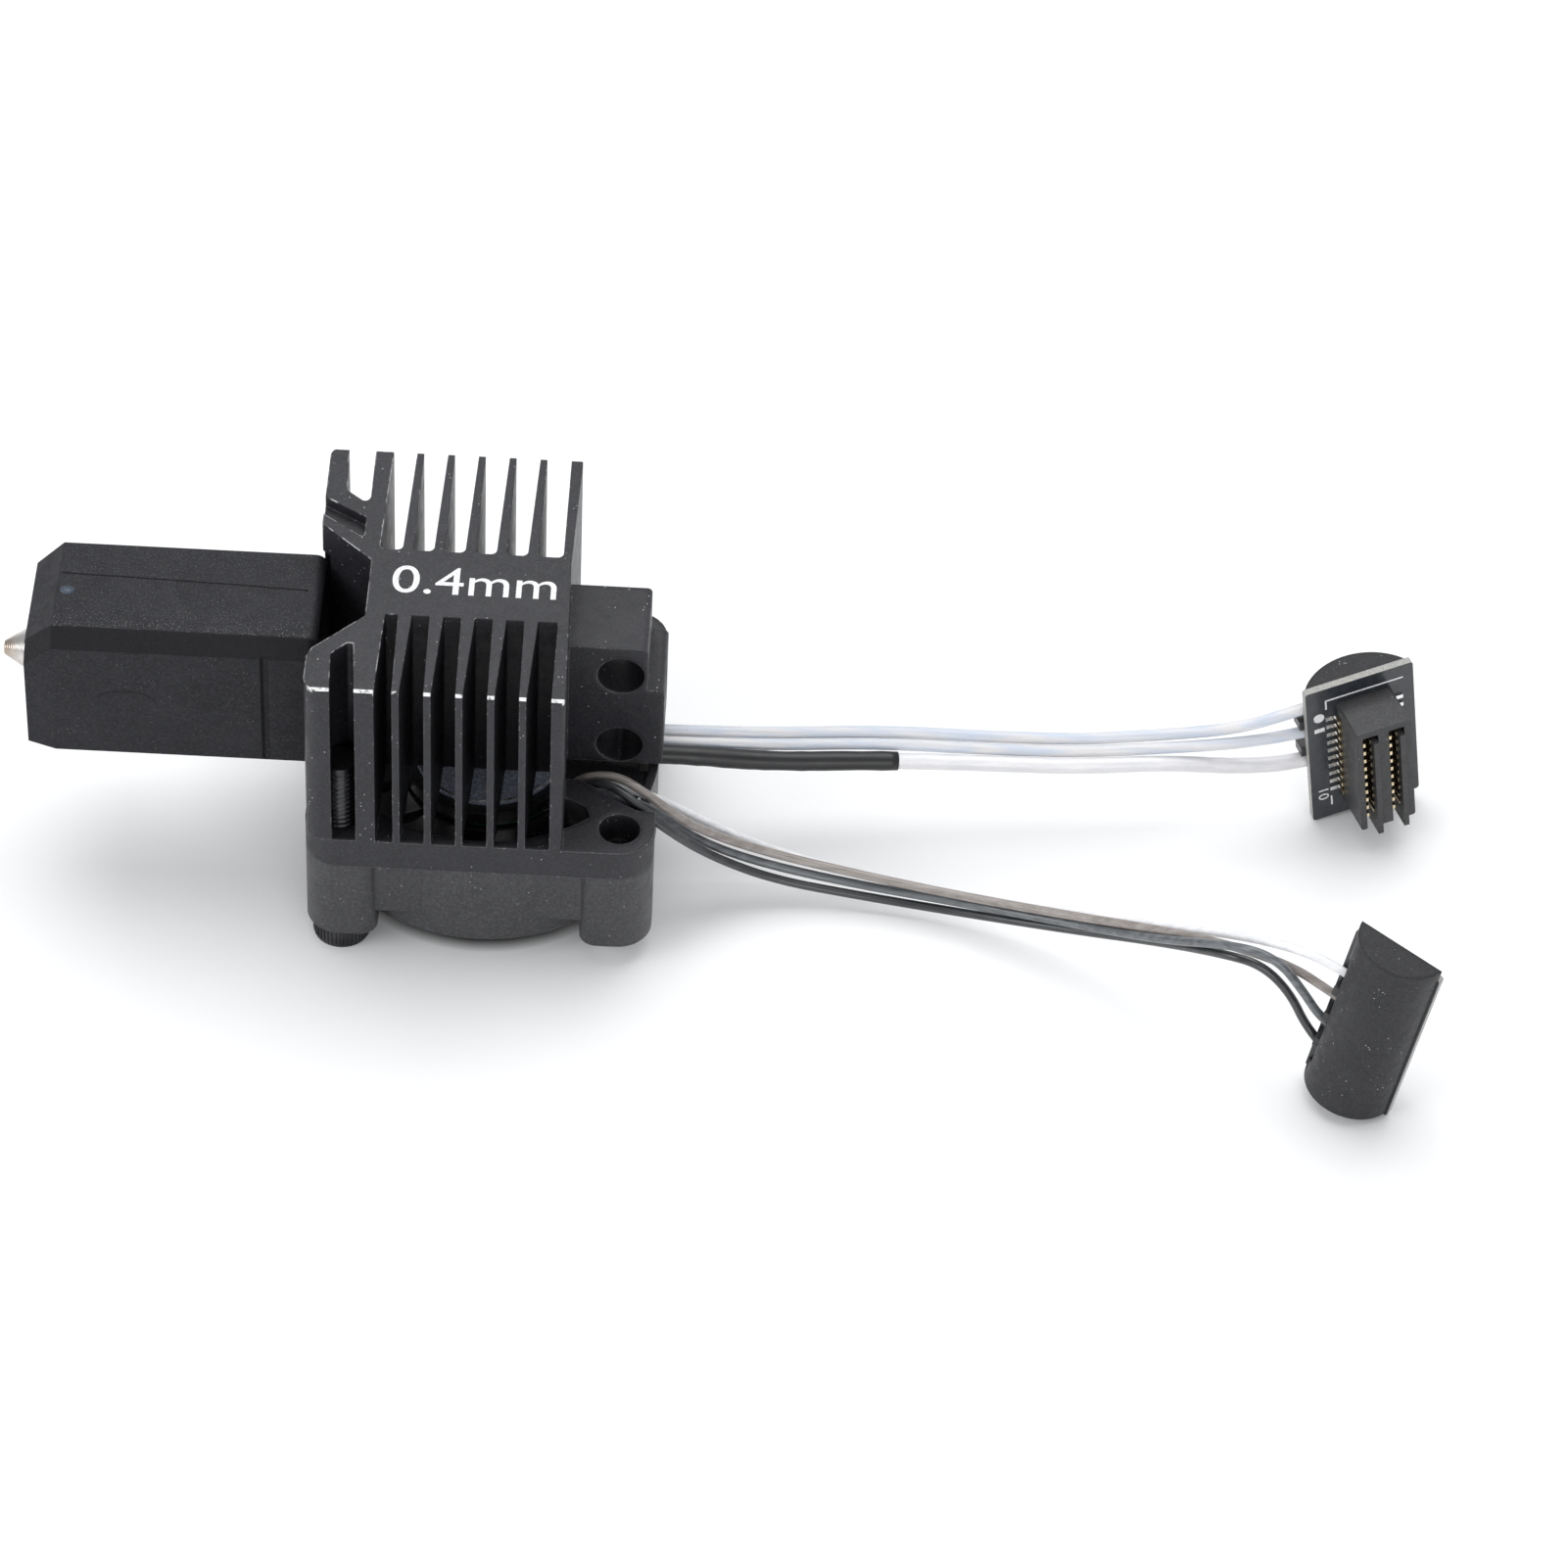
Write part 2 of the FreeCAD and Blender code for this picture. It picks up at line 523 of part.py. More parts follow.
def make_fan_frame():
    half = D["fan_side"] / 2
    inner = half - D["post_side"]
    body = new_body("fan_frame")
    rim = new_sketch(body, "rim_outline", up="Sizes.head_height")
    add_circle(rim, FAN_X, 0, "Sizes.fan_rim_radius")
    pad(body, rim, "Sizes.fan_thickness", "rim")
    for sx in (-1, 1):
        for sy in (-1, 1):
            post = new_sketch(body, f"post_{sx + 1}{sy + 1}", up="Sizes.head_height")
            corner = (FAN_X + sx * half, sy * half, D["fan_corner"])
            side = (FAN_X + sx * inner, sy * half, 1.3)
            inside = (FAN_X + sx * inner, sy * inner)
            front = (FAN_X + sx * half, sy * inner, 1.3)
            add_outline(post, [corner, side, inside, front])
            pad(body, post, "Sizes.fan_thickness", f"corner_post_{sx + 1}{sy + 1}")
    # shallow walls between the posts and the rim, higher than the posts' feet
    for sx in (-1, 1):
        for sy in (-1, 1):
            for across in (False, True):
                corners = [(inner + 0.6, D["wall_reach"]), (inner + 0.6, inner), (inner - 1.6, inner + 2.6),
                           (inner - 3.2, D["wall_reach"])]
                if across:
                    corners = [(v, u) for u, v in corners]
                label = f"wall_{sx + 1}{sy + 1}{int(across)}"
                wall = new_sketch(body, label + "_outline", up="Sizes.wall_low")
                add_outline(wall, [(FAN_X + sx * u, sy * v) for u, v in corners])
                pad(body, wall, PLATE_BOTTOM + " - Sizes.wall_low", label)
    duct = new_sketch(body, "duct_outline", up="Sizes.head_height")
    add_circle(duct, FAN_X, 0, "Sizes.fan_duct_radius")
    pocket(body, duct, "Sizes.fan_thickness", "duct", upward=True)

    # hub and its struts on the side that faces the heatsink, with the bearing's tube below
    hub_low = PLATE_BOTTOM + " - Sizes.disc_thickness - Sizes.strut_thickness"
    hub = new_sketch(body, "hub_outline", up=hub_low)
    add_circle(hub, FAN_X, 0, "Sizes.hub_radius")
    hub_pad = pad(body, hub, "Sizes.strut_thickness", "hub")
    hub_pad.AllowMultiFace = True
    for index, degrees in enumerate((110, 200, 350)):
        angle = math.radians(degrees)
        strut = new_sketch(body, f"strut_outline_{index}", up=hub_low)
        along = V(math.cos(angle), math.sin(angle), 0)
        across = V(-along.y, along.x, 0) * 0.9
        near = V(FAN_X, 0, 0) + along * 5.8
        far = V(FAN_X, 0, 0) + along * (D["fan_duct_radius"] + 0.4)
        corners = (near - across, far - across, far + across, near + across)
        add_outline(strut, [(corner.x, corner.y) for corner in corners])
        pad(body, strut, "Sizes.strut_thickness", f"strut_{index}")
    tube = new_sketch(body, "tube_outline", up="Sizes.rotor_bottom + Sizes.rotor_wall + 0.4")
    add_circle(tube, FAN_X, 0, "Sizes.tube_radius")
    pad(body, tube, hub_low + " - Sizes.rotor_bottom - Sizes.rotor_wall - 0.3", "bearing_tube")
    bearing_hole = new_sketch(body, "bearing_hole", up=PLATE_BOTTOM)
    add_circle(bearing_hole, FAN_X, 0, "Sizes.bearing_radius")
    pocket(body, bearing_hole, "Sizes.fan_thickness", "bearing_seat")

    holes = new_sketch(body, "corner_holes", up="Sizes.head_height")
    for sx in (-1, 1):
        for sy in (-1, 1):
            add_circle(holes, FAN_X + sx * D["hole_offset"], sy * D["hole_offset"], "Sizes.hole_radius")
    pocket(body, holes, "Sizes.fan_thickness", "screw_holes", upward=True)

    # way out for the wires in the rim
    notch = new_sketch(body, "wire_notch", up=PLATE_BOTTOM)
    add_outline(notch, rectangle(FAN_X + 9.6, FAN_X + 13, -6.2, -3.4, 0.4))
    pocket(body, notch, "2.2", "wire_exit")
    return body


def make_fan_motor():
    hub_top = PLATE_BOTTOM + " - Sizes.disc_thickness"
    centre = ("Sizes.fan_x", "0")
    node("fan_label_disc", cylinder("fan_label_disc", "Sizes.disc_radius", "Sizes.disc_thickness",
                                    centre + (hub_top,)))
    board_low = hub_top + " - Sizes.strut_thickness - Sizes.board_thickness"
    ring("fan_circuit_board", "Sizes.hub_radius - 0.3", "Sizes.tube_radius + 0.02",
         "Sizes.board_thickness", centre + (board_low,))
    ring("fan_bearing", "Sizes.bearing_radius - 0.02", "Sizes.shaft_radius + 0.04", "3.6",
         centre + ("Sizes.rotor_bottom + Sizes.rotor_wall + 0.5",))

    # four-pole stator with a coil on each arm
    core = [cylinder("stator_core_ring", "Sizes.tube_radius + 0.75", "Sizes.stator_thickness",
                     centre + ("Sizes.stator_low",))]
    coils = []
    for index in range(int(D["coil_count"])):
        turn = FreeCAD.Rotation(V(0, 0, 1), 90 * index + 45)
        arm = doc.addObject("Part::Box", f"stator_arm_{index}")
        shoe = doc.addObject("Part::Box", f"stator_shoe_{index}")
        coil = doc.addObject("Part::Box", f"coil_{index}")
        bind(arm, Length="Sizes.stator_radius - 0.3", Width="1.1", Height="Sizes.stator_thickness")
        bind(shoe, Length="0.6", Width="3.6", Height="Sizes.stator_thickness")
        bind(coil, Length="0.95", Width="2.3", Height="Sizes.stator_thickness + 0.9")
        for piece, start, width, lift in ((arm, 0, 1.1, 0), (shoe, D["stator_radius"] - 0.7, 3.6, 0),
                                          (coil, D["tube_radius"] + 0.85, 2.3, -0.45)):
            offset = turn.multVec(V(start, -width / 2, 0))
            piece.Placement = FreeCAD.Placement(V(FAN_X, 0, D["stator_low"] + lift) + offset, turn)
        core += [arm, shoe]
        coils.append(coil)
    core_bore = cylinder("stator_bore", "Sizes.tube_radius + 0.02", "Sizes.stator_thickness",
                         centre + ("Sizes.stator_low",))
    stator = node("stator_core", cut("stator_core", fuse("stator_stack", core), core_bore))
    node("stator_windings", cut("stator_windings", fuse("coil_blocks", coils), stator))


def make_rotor():
    bottom = D["rotor_bottom"]
    body = new_body("fan_rotor")
    cup = new_sketch(body, "cup_outline", up="Sizes.rotor_bottom")
    add_circle(cup, FAN_X, 0, "Sizes.hub_radius")
    pad(body, cup, "Sizes.rotor_height", "cup")
    inside = new_sketch(body, "cup_inside", up="Sizes.rotor_bottom + Sizes.rotor_wall")
    add_circle(inside, FAN_X, 0, "Sizes.yoke_radius + 0.02")
    pocket(body, inside, "Sizes.rotor_height", "cup_space", upward=True)

    # one pitched blade, seen along the radius, repeated round the hub
    blade = new_sketch(body, "blade_section", role="YZ_Plane", up="Sizes.fan_x + 5.9")
    low = bottom + 0.25
    high = bottom + D["rotor_height"] - 0.1
    add_outline(blade, [(-2.3, low), (-1.75, low), (0.6, low + 1.9), (2.4, high), (1.9, high),
                        (0.0, low + 2.25)])
    pad(body, blade, "Sizes.blade_tip - 5.9 - 0.25", "blade")
    doc.recompute()
    pattern = body.newObject("PartDesign::PolarPattern", "blades")
    pattern.Originals = [doc.getObject("blade")]
    axis_sketch = new_sketch(body, "rotor_axis")
    axis_sketch.AttachmentOffset = FreeCAD.Placement(V(FAN_X, 0, 0), FreeCAD.Rotation())
    pattern.Axis = (axis_sketch, ["N_Axis"])
    pattern.Angle = 360
    pattern.setExpression("Occurrences", "Sizes.blade_count")
    body.Tip = pattern
    doc.recompute()

    floor = "Sizes.rotor_bottom + Sizes.rotor_wall"
    centre = ("Sizes.fan_x", "0")
    ring("rotor_yoke", "Sizes.yoke_radius", "Sizes.magnet_radius", "3.6", centre + (floor,))
    ring("magnet_ring", "Sizes.magnet_radius - 0.01", "Sizes.magnet_inner", "3.5", centre + (floor,))
    node("fan_shaft", cylinder("fan_shaft", "Sizes.shaft_radius", "4.75", centre + (floor,)))


def make_fan_screws():
    places = {"fan_screw_near": -1, "fan_screw_far": 1}
    for label, side in places.items():
        x = FAN_X - D["hole_offset"]
        y = side * D["hole_offset"]
        body = new_body(label)
        head = new_sketch(body, label + "_head_outline")
        add_circle(head, x, y, "Sizes.head_radius")
        pad(body, head, "Sizes.head_height", label + "_head")
        shank = new_sketch(body, label + "_shank_outline", up="Sizes.head_height")
        add_circle(shank, x, y, "Sizes.screw_radius")
        pad(body, shank, "Sizes.screw_length", label + "_shank")
        socket = new_sketch(body, label + "_socket_outline")
        radius = D["hex_half"] / math.cos(math.pi / 6)
        corners = [(x + radius * math.cos(math.pi / 3 * index), y + radius * math.sin(math.pi / 3 * index))
                   for index in range(6)]
        add_outline(socket, corners)
        pocket(body, socket, "1.2", label + "_socket", upward=True)


# ---------------------------------------------------------------- wires

# Each route is a list of points; the wire runs straight between them with an arc at each.
THERMISTOR_1 = [(17.0, 1.5, 10.2), (20.4, 1.6, 10.25), (25.2, 2.0, 9.95), (31.6, 2.9, 9.25), (39.4, 4.0, 8.95),
                (47.0, 4.9, 8.05), (54.2, 5.7, 7.4), (60.8, 6.3, 7.8), (66.0, 6.2, 8.9), (69.6, 6.45, 10.5),
                (72.2, 7.4, 10.9)]
THERMISTOR_2 = [(17.0, 0.4, 10.2), (20.4, 0.5, 10.2), (25.2, 0.95, 9.75), (31.6, 2.05, 8.9),
                (39.4, 3.2, 8.5), (47.0, 4.05, 7.6), (54.2, 4.85, 6.95), (60.8, 5.5, 7.2),
                (66.0, 5.6, 7.95), (69.9, 6.4, 8.3), (72.5, 7.4, 8.35)]
HEATER_CABLE = [(17.0, -0.8, 10.1), (20.4, -0.8, 10.1), (25.2, -0.35, 9.85), (31.6, 0.85, 8.35),
                (39.4, 2.1, 7.8), (47.0, 3.2, 6.95), (54.3, 3.92, 6.36), (60.8, 4.72, 6.43),
                (66.2, 5.6, 5.55), (70.4, 6.55, 5.3), (72.9, 7.55, 5.5)]
FAN_WHITE = [(16.95, -2.6, 8.2), (18.6, -3.85, 9.7), (20.9, -4.4, 10.4), (23.6, -4.6, 9.5),
             (26.6, -3.94, 6.96), (31.0, -3.5, 3.96), (37.4, -3.88, 2.18), (45.1, -5.41, 1.94),
             (53.3, -8.44, 3.65), (60.2, -12.59, 7.15), (65.5, -16.15, 10.37), (69.6, -18.6, 11.8),
             (72.2, -19.8, 11.5), (74.3, -21.2, 11.15)]
FAN_BROWN = [(16.55, -3.35, 8.2), (17.5, -3.9, 10.0), (18.9, -4.3, 11.25), (20.8, -4.7, 11.6),
             (22.4, -5.5, 11.2), (24.0, -6.05, 10.25), (26.4, -5.62, 7.65), (31.0, -4.4, 4.46),
             (37.4, -4.68, 2.98), (45.1, -6.21, 2.74), (53.3, -9.24, 4.35), (60.3, -13.53, 7.7),
             (65.2, -16.96, 10.08), (69.4, -18.8, 10.1), (71.9, -19.9, 9.1), (73.9, -21.2, 8.65)]
FAN_GREY = [(16.05, -3.95, 8.2), (18.4, -4.55, 9.6), (20.9, -5.5, 10.4), (23.6, -5.7, 9.3),
            (26.8, -5.45, 6.08), (31.4, -4.78, 3.45), (38.0, -4.95, 2.01), (45.9, -6.37, 2.04),
            (54.0, -9.65, 3.85), (60.2, -14.2, 7.38), (65.2, -18.3, 11.57), (68.1, -19.4, 11.5),
            (70.2, -19.95, 8.8), (71.6, -20.25, 6.5), (73.4, -21.2, 5.75)]
FAN_BLACK = [(15.4, -4.7, 8.0), (16.9, -4.8, 9.3), (18.9, -4.95, 11.3), (20.6, -5.9, 11.75),
             (22.3, -7.0, 11.1), (24.1, -7.5, 9.51), (27.4, -6.08, 5.42), (32.2, -5.34, 2.41),
             (38.6, -5.3, 1.13), (46.4, -6.68, 1.26), (54.2, -9.67, 3.18), (60.2, -13.32, 6.25),
             (64.4, -17.8, 10.08), (67.1, -18.6, 10.01), (69.3, -19.15, 7.9), (70.9, -19.65, 4.5),
             (72.8, -21.2, 3.35)]


def cord_path(name, points):
    """Straight runs joined by arcs that are tangent to them."""
    points = [V(*point) for point in points]
    edges = []
    start = points[0]
    tightest = float("inf")
    for before, corner, after in zip(points, points[1:], points[2:]):
        incoming = (before - corner).normalize()
        outgoing = (after - corner).normalize()
        half_opening = incoming.getAngle(outgoing) / 2
        shorter = min((before - corner).Length, (after - corner).Length)
        reach = 0.45 * shorter
        radius = reach * math.tan(half_opening)
        tightest = min(tightest, radius)
        first = corner + incoming * reach
        last = corner + outgoing * reach
        bisector = (incoming + outgoing).normalize()
        middle = corner + bisector * (radius / math.sin(half_opening) - radius)
        edges.append(Part.LineSegment(start, first).toShape())
        edges.append(Part.Arc(first, middle, last).toShape())
        start = last
    edges.append(Part.LineSegment(start, points[-1]).toShape())
    print(f"{name}: length {sum(edge.Length for edge in edges):.1f}, tightest radius {tightest:.1f}")
    return Part.Wire(edges)


def tube(name, points, radius):
    """A round solid along a cord's path."""
    path = cord_path(name, points)
    tangent = path.Edges[0].tangentAt(path.Edges[0].FirstParameter)
    section = Part.Wire([Part.Circle(V(*points[0]), tangent, radius).toShape()])
    solid = path.makePipeShell([section], True, False)
    expected = math.pi * radius ** 2 * path.Length
    if abs(solid.Volume - expected) > 0.02 * expected:
        raise RuntimeError(f"{name}: volume {solid.Volume} instead of {expected}")
    return solid


def wire_feature(label, shape):
    item = doc.addObject("Part::Feature", label)
    item.Shape = shape
    return node(label, item)


def make_wires():
    thermistor_radius = D["thermistor_wire_radius"]
    wire_feature("thermistor_wire_1", tube("thermistor_wire_1", THERMISTOR_1, thermistor_radius))
    wire_feature("thermistor_wire_2", tube("thermistor_wire_2", THERMISTOR_2, thermistor_radius))
    cable = tube("heater_cable", HEATER_CABLE, D["heater_cable_radius"])
    wire_feature("heater_cable", cable)
    window = Part.makeBox(D["sleeve_end"] - D["sleeve_start"], 20, 20, V(D["sleeve_start"], -10, 0))
    sleeve = tube("heater_sleeve", HEATER_CABLE, D["sleeve_radius"]).common(window).cut(cable)
    wire_feature("heater_sleeve", sleeve.Solids[0])
    fan_routes = {"fan_wire_white": FAN_WHITE, "fan_wire_brown": FAN_BROWN,
                  "fan_wire_grey": FAN_GREY, "fan_wire_black": FAN_BLACK}
    for label, route in fan_routes.items():
        wire_feature(label, tube(label, route, D["fan_wire_radius"]))

    # leads between the hot block and the cables, under the heatsink's core
    rear = D["block_front"] + D["block_length"]
    leads = []
    for y, start_z, radius in ((1.5, 13.3, 0.4), (0.4, 13.3, 0.4), (-0.8, 13.3, 0.5)):
        run = [(rear + 0.2, y, start_z), (rear + 2.0, y, start_z - 0.4), (1.0, y, 10.9), (4.4, y, 10.2),
               (16.95, y, 10.2 if y > 0 else 10.1)]
        leads.append(tube("lead", run, radius))
    wire_feature("inner_leads", Part.makeCompound(leads))


# ---------------------------------------------------------------- plugs

def plug_placement(prefix):
    lean = FreeCAD.Rotation(V(0, 1, 0), D[prefix + "_lean"])
    yaw = FreeCAD.Rotation(V(0, 0, 1), D[prefix + "_yaw"])
    return FreeCAD.Placement(V(D[prefix + "_x"], D[prefix + "_y"], D[prefix + "_z"]), lean * yaw)


def cap_outline(width, depth, side, margin):
    """A half-round section: a chord on the board and an arc that bulges away from it."""
    left = V(margin, 0, 0)
    right = V(width - margin, 0, 0)
    top = V(width / 2, side * depth, 0)
    return [Part.LineSegment(right, left), Part.Arc(left, top, right)]


def make_cap(label, prefix, side, channel_low, channel_high):
    """The press cap: half round, with a channel for the wires and a notched left edge."""
    body = new_body(label)
    sketch = new_sketch(body, label + "_section", up="0.3")
    for piece in cap_outline(D[prefix + "_width"], D[prefix + "_cap_depth"], side, 0.15):
        sketch.addGeometry(piece, False)
    pad(body, sketch, f"Sizes.{prefix}_height - 0.6", label + "_solid")
    channel = new_sketch(body, label + "_channel", up=f"{channel_low}")
    gap = D["wire_gap"] + 0.1
    add_outline(channel, rectangle(-1, 5.9, min(0, side * gap), max(0, side * gap)))
    pocket(body, channel, f"{channel_high - channel_low}", label + "_wire_channel", upward=True)
    if side < 0:
        notch = new_sketch(body, label + "_notch", up="2.1")
        add_outline(notch, rectangle(-1, 0.85, -D[prefix + "_cap_depth"] - 1, 1))
        pocket(body, notch, "10.9", label + "_edge_notch", upward=True)
    body.Placement = plug_placement(prefix)
    return body


def make_comb(label, prefix, side, rib_heights, low, high, rib_start):
    """The strip between board and cap: a spine with ribs that keep the wires apart."""
    gap = D["wire_gap"]
    y_low = 0.03 if side > 0 else -gap - 0.03
    pieces = [box(label + "_spine", ("2.3", f"{y_low}", f"{low}"), ("3.5", f"{gap}", f"{high - low}"))]
    for index, height in enumerate(rib_heights):
        pieces.append(box(f"{label}_rib_{index}", (f"{rib_start}", f"{y_low}", f"{height - 0.42}"),
                          (f"{2.4 - rib_start}", f"{gap}", "0.84")))
    comb = fuse(label, pieces)
    comb.Placement = plug_placement(prefix)
    return node(label, comb)


def make_heater_plug():
    place = plug_placement("hp")
    board = new_body("heater_plug_board")
    outline = new_sketch(board, "hp_board_outline", role="XZ_Plane")
    add_outline(outline, rectangle(0, D["hp_width"], 0, D["hp_height"], 0.25))
    pad(board, outline, "Sizes.hp_board", "hp_board_pad")
    board.Placement = place
    make_cap("heater_plug_cap", "hp", 1, 0.9, D["hp_height"] - 0.9)
    make_comb("heater_plug_comb", "hp", 1, (9.45, 6.75), 1.2, D["hp_height"] - 1.2, -0.35)

    # two-row socket on the board's front: each row's slot is open below and has a tongue beside its contacts
    left = D["hp_socket_left"]
    low = D["hp_socket_low"]
    front = -D["hp_board"] - D["hp_socket_depth"]
    socket = new_body("heater_plug_socket")
    base = new_sketch(socket, "socket_outline", role="XZ_Plane", up="Sizes.hp_board")
    add_outline(base, rectangle(left, left + D["hp_socket_width"], low, low + D["hp_socket_height"], 0.2))
    pad(socket, base, "Sizes.hp_socket_depth", "socket_solid")
    slots = new_sketch(socket, "socket_slots", role="XZ_Plane", up="Sizes.hp_board + Sizes.hp_socket_depth")
    slot_width = 1.2
    slot_left = (left + 0.5, left + 2.55)
    for x in slot_left:
        add_outline(slots, rectangle(x, x + slot_width, low - 1, low + D["hp_socket_height"] - 0.5))
    pocket(socket, slots, "2.6", "socket_blade_slots")
    tongues = new_sketch(socket, "socket_tongues", role="XZ_Plane",
                         up="Sizes.hp_board + Sizes.hp_socket_depth - 2.6")
    for x in slot_left:
        add_outline(tongues, rectangle(x + 0.72, x + 1.12, low - 0.55, low + D["hp_socket_height"] - 1.0))
    pad(socket, tongues, "2.95", "socket_tongues_pad")
    socket.Placement = place

    # gold contacts: a foot and riser beside the socket, and a finger in its slot
    shapes = []
    first = low + (D["hp_socket_height"] - D["contact_pitch"] * (D["contact_count"] - 1)) / 2
    board_front = -D["hp_board"]
    right = left + D["hp_socket_width"]
    for index in range(int(D["contact_count"])):
        z = first + D["contact_pitch"] * index - 0.15
        for foot_x, riser_x, slot_x in ((left - 0.9, left - 0.2, slot_left[0]),
                                        (right + 0.02, right + 0.02, slot_left[1])):
            foot = Part.makeBox(0.88, 0.15, 0.34, V(foot_x, board_front - 0.16, z))
            riser = Part.makeBox(0.18, 0.75, 0.34, V(riser_x, board_front - 0.9, z))
            finger = Part.makeBox(0.2, 2.45, 0.34, V(slot_x + 0.02, front + 0.08, z))
            strip = Part.makeBox(0.06, 2.2, 0.34, V(slot_x + 0.65, front + 0.3, z))
            shapes += [foot.fuse(riser).removeSplitter(), finger, strip]
    contacts = doc.addObject("Part::Feature", "heater_plug_contacts")
    contacts.Shape = Part.makeCompound([piece for shape in shapes for piece in shape.Solids])
    contacts.Placement = place
    node("heater_plug_contacts", contacts)


def make_fan_plug():
    place = plug_placement("fp")
    board = new_body("fan_plug_board")
    outline = new_sketch(board, "fp_board_outline", role="XZ_Plane", up="-Sizes.fp_board")
    add_outline(outline, rectangle(0, D["fp_width"], 0, D["fp_height"] - 1.3, 0.25))
    pad(board, outline, "Sizes.fp_board", "fp_board_pad")
    board.Placement = place
    make_cap("fan_plug_cap", "fp", -1, 0.9, D["fp_height"] - 0.9)
    make_comb("fan_plug_comb", "fp", -1, (3.8, 6.5, 9.2), 1.2, D["fp_height"] - 1.6, 0.3)

    header_low = (D["fp_height"] - D["fp_header_height"]) / 2
    header_left = (D["fp_width"] - D["fp_header_width"]) / 2
    shell = box("header_shell", (f"{header_left}", "Sizes.fp_board", f"{header_low}"),
                ("Sizes.fp_header_width", "Sizes.fp_header_depth", "Sizes.fp_header_height"))
    well = box("header_well", (f"{header_left + 0.6}", "Sizes.fp_board + 0.6", f"{header_low + 0.6}"),
               ("Sizes.fp_header_width - 1.2", "Sizes.fp_header_depth", "Sizes.fp_header_height - 1.2"))
    header = cut("fan_plug_header", shell, well)
    header.Placement = place
    node("fan_plug_header", header)
    pins = []
    for index in range(4):
        for x in (header_left + 1.2, header_left + 2.3):
            pins.append(Part.makeBox(0.5, 1.4, 0.5, V(x, D["fp_board"] + 0.6, header_low + 1.4 + 1.9 * index)))
    pin_feature = doc.addObject("Part::Feature", "fan_plug_pins")
    pin_feature.Shape = Part.makeCompound(pins)
    pin_feature.Placement = place
    node("fan_plug_pins", pin_feature)


# ---------------------------------------------------------------- build, check and write

make_heatsink()
make_hot_side()
make_sock()
make_fan_frame()
make_fan_motor()
make_rotor()
make_fan_screws()
make_wires()
make_heater_plug()
make_fan_plug()
doc.recompute()

for item in doc.Objects:
    if "Invalid" in item.State or "Error" in item.State:
        raise RuntimeError(f"{item.Name}: {item.State}")

os.makedirs("parts", exist_ok=True)
for label, item in NODES.items():
    shape = item.Shape
    if shape.isNull() or not shape.isValid() or shape.Volume <= 0:
        raise RuntimeError(f"{label}: no valid solid")
    shape.exportStep(f"parts/{label}.step")
    size = shape.BoundBox
    print(f"{label}: {len(shape.Solids)} solid(s), {shape.Volume:.1f} mm3, "
          f"x {size.XMin:.2f}..{size.XMax:.2f} y {size.YMin:.2f}..{size.YMax:.2f} "
          f"z {size.ZMin:.2f}..{size.ZMax:.2f}")
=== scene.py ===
import math
import random

import bmesh
import bpy
from mathutils import Matrix, Vector


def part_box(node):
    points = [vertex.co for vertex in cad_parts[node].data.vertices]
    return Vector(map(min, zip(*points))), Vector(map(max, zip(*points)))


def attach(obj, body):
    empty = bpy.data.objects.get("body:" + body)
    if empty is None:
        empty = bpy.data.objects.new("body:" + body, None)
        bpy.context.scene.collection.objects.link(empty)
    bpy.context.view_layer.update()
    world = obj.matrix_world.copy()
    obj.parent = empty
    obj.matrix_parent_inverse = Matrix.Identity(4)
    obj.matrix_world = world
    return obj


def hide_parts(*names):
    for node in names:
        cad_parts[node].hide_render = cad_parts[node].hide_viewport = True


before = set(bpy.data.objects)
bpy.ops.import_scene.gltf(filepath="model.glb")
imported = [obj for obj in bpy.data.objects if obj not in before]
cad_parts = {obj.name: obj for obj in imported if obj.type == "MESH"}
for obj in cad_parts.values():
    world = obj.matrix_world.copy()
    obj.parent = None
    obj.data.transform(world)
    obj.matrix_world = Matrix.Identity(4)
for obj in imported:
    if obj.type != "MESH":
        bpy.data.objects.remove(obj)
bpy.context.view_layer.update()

# Hotend assembly. Positions of pieces are in millimetres in the row frame, and MM turns them into metres.
# Lengths inside materials are in metres.
MM = 0.001
scene = bpy.context.scene


def mm(x, y, z):
    return Vector((x, y, z)) * MM


# ---------------------------------------------------------------- camera, floor and light

CAMERA_PLACE = (31.63, -330.64, 341.02)
CAMERA_LENS = 147.46
camera_data = bpy.data.cameras.new("camera")
camera_data.lens = CAMERA_LENS
camera_data.sensor_width = 36
camera_data.clip_start = 0.01
camera_data.clip_end = 10
camera = bpy.data.objects.new("camera", camera_data)
scene.collection.objects.link(camera)
right = Vector((0.99874085, 0.033989, 0.03689806))
up = Vector((-0.05011338, 0.70991209, 0.70250514))
back = right.cross(up)
camera.matrix_world = Matrix((
    (right.x, up.x, back.x, CAMERA_PLACE[0] * MM),
    (right.y, up.y, back.y, CAMERA_PLACE[1] * MM),
    (right.z, up.z, back.z, CAMERA_PLACE[2] * MM),
    (0, 0, 0, 1)))
scene.camera = camera


def area_light(name, place, target, size, power):
    data = bpy.data.lights.new(name, "AREA")
    data.shape = "RECTANGLE"
    data.size, data.size_y = size
    data.energy = power
    lamp = bpy.data.objects.new(name, data)
    lamp.location = place
    lamp.rotation_euler = (Vector(target) - Vector(place)).to_track_quat("-Z", "Y").to_euler()
    scene.collection.objects.link(lamp)


area_light("overhead_softbox", (0.02, 0.30, 0.75), (0.03, 0, 0), (0.9, 0.7), 5.2)
area_light("left_softbox", (-0.65, -0.35, 0.45), (0.02, 0, 0.01), (0.5, 0.5), 2.6)
area_light("front_fill", (0.25, -0.85, 0.30), (0.03, 0, 0.01), (0.6, 0.4), 2.2)

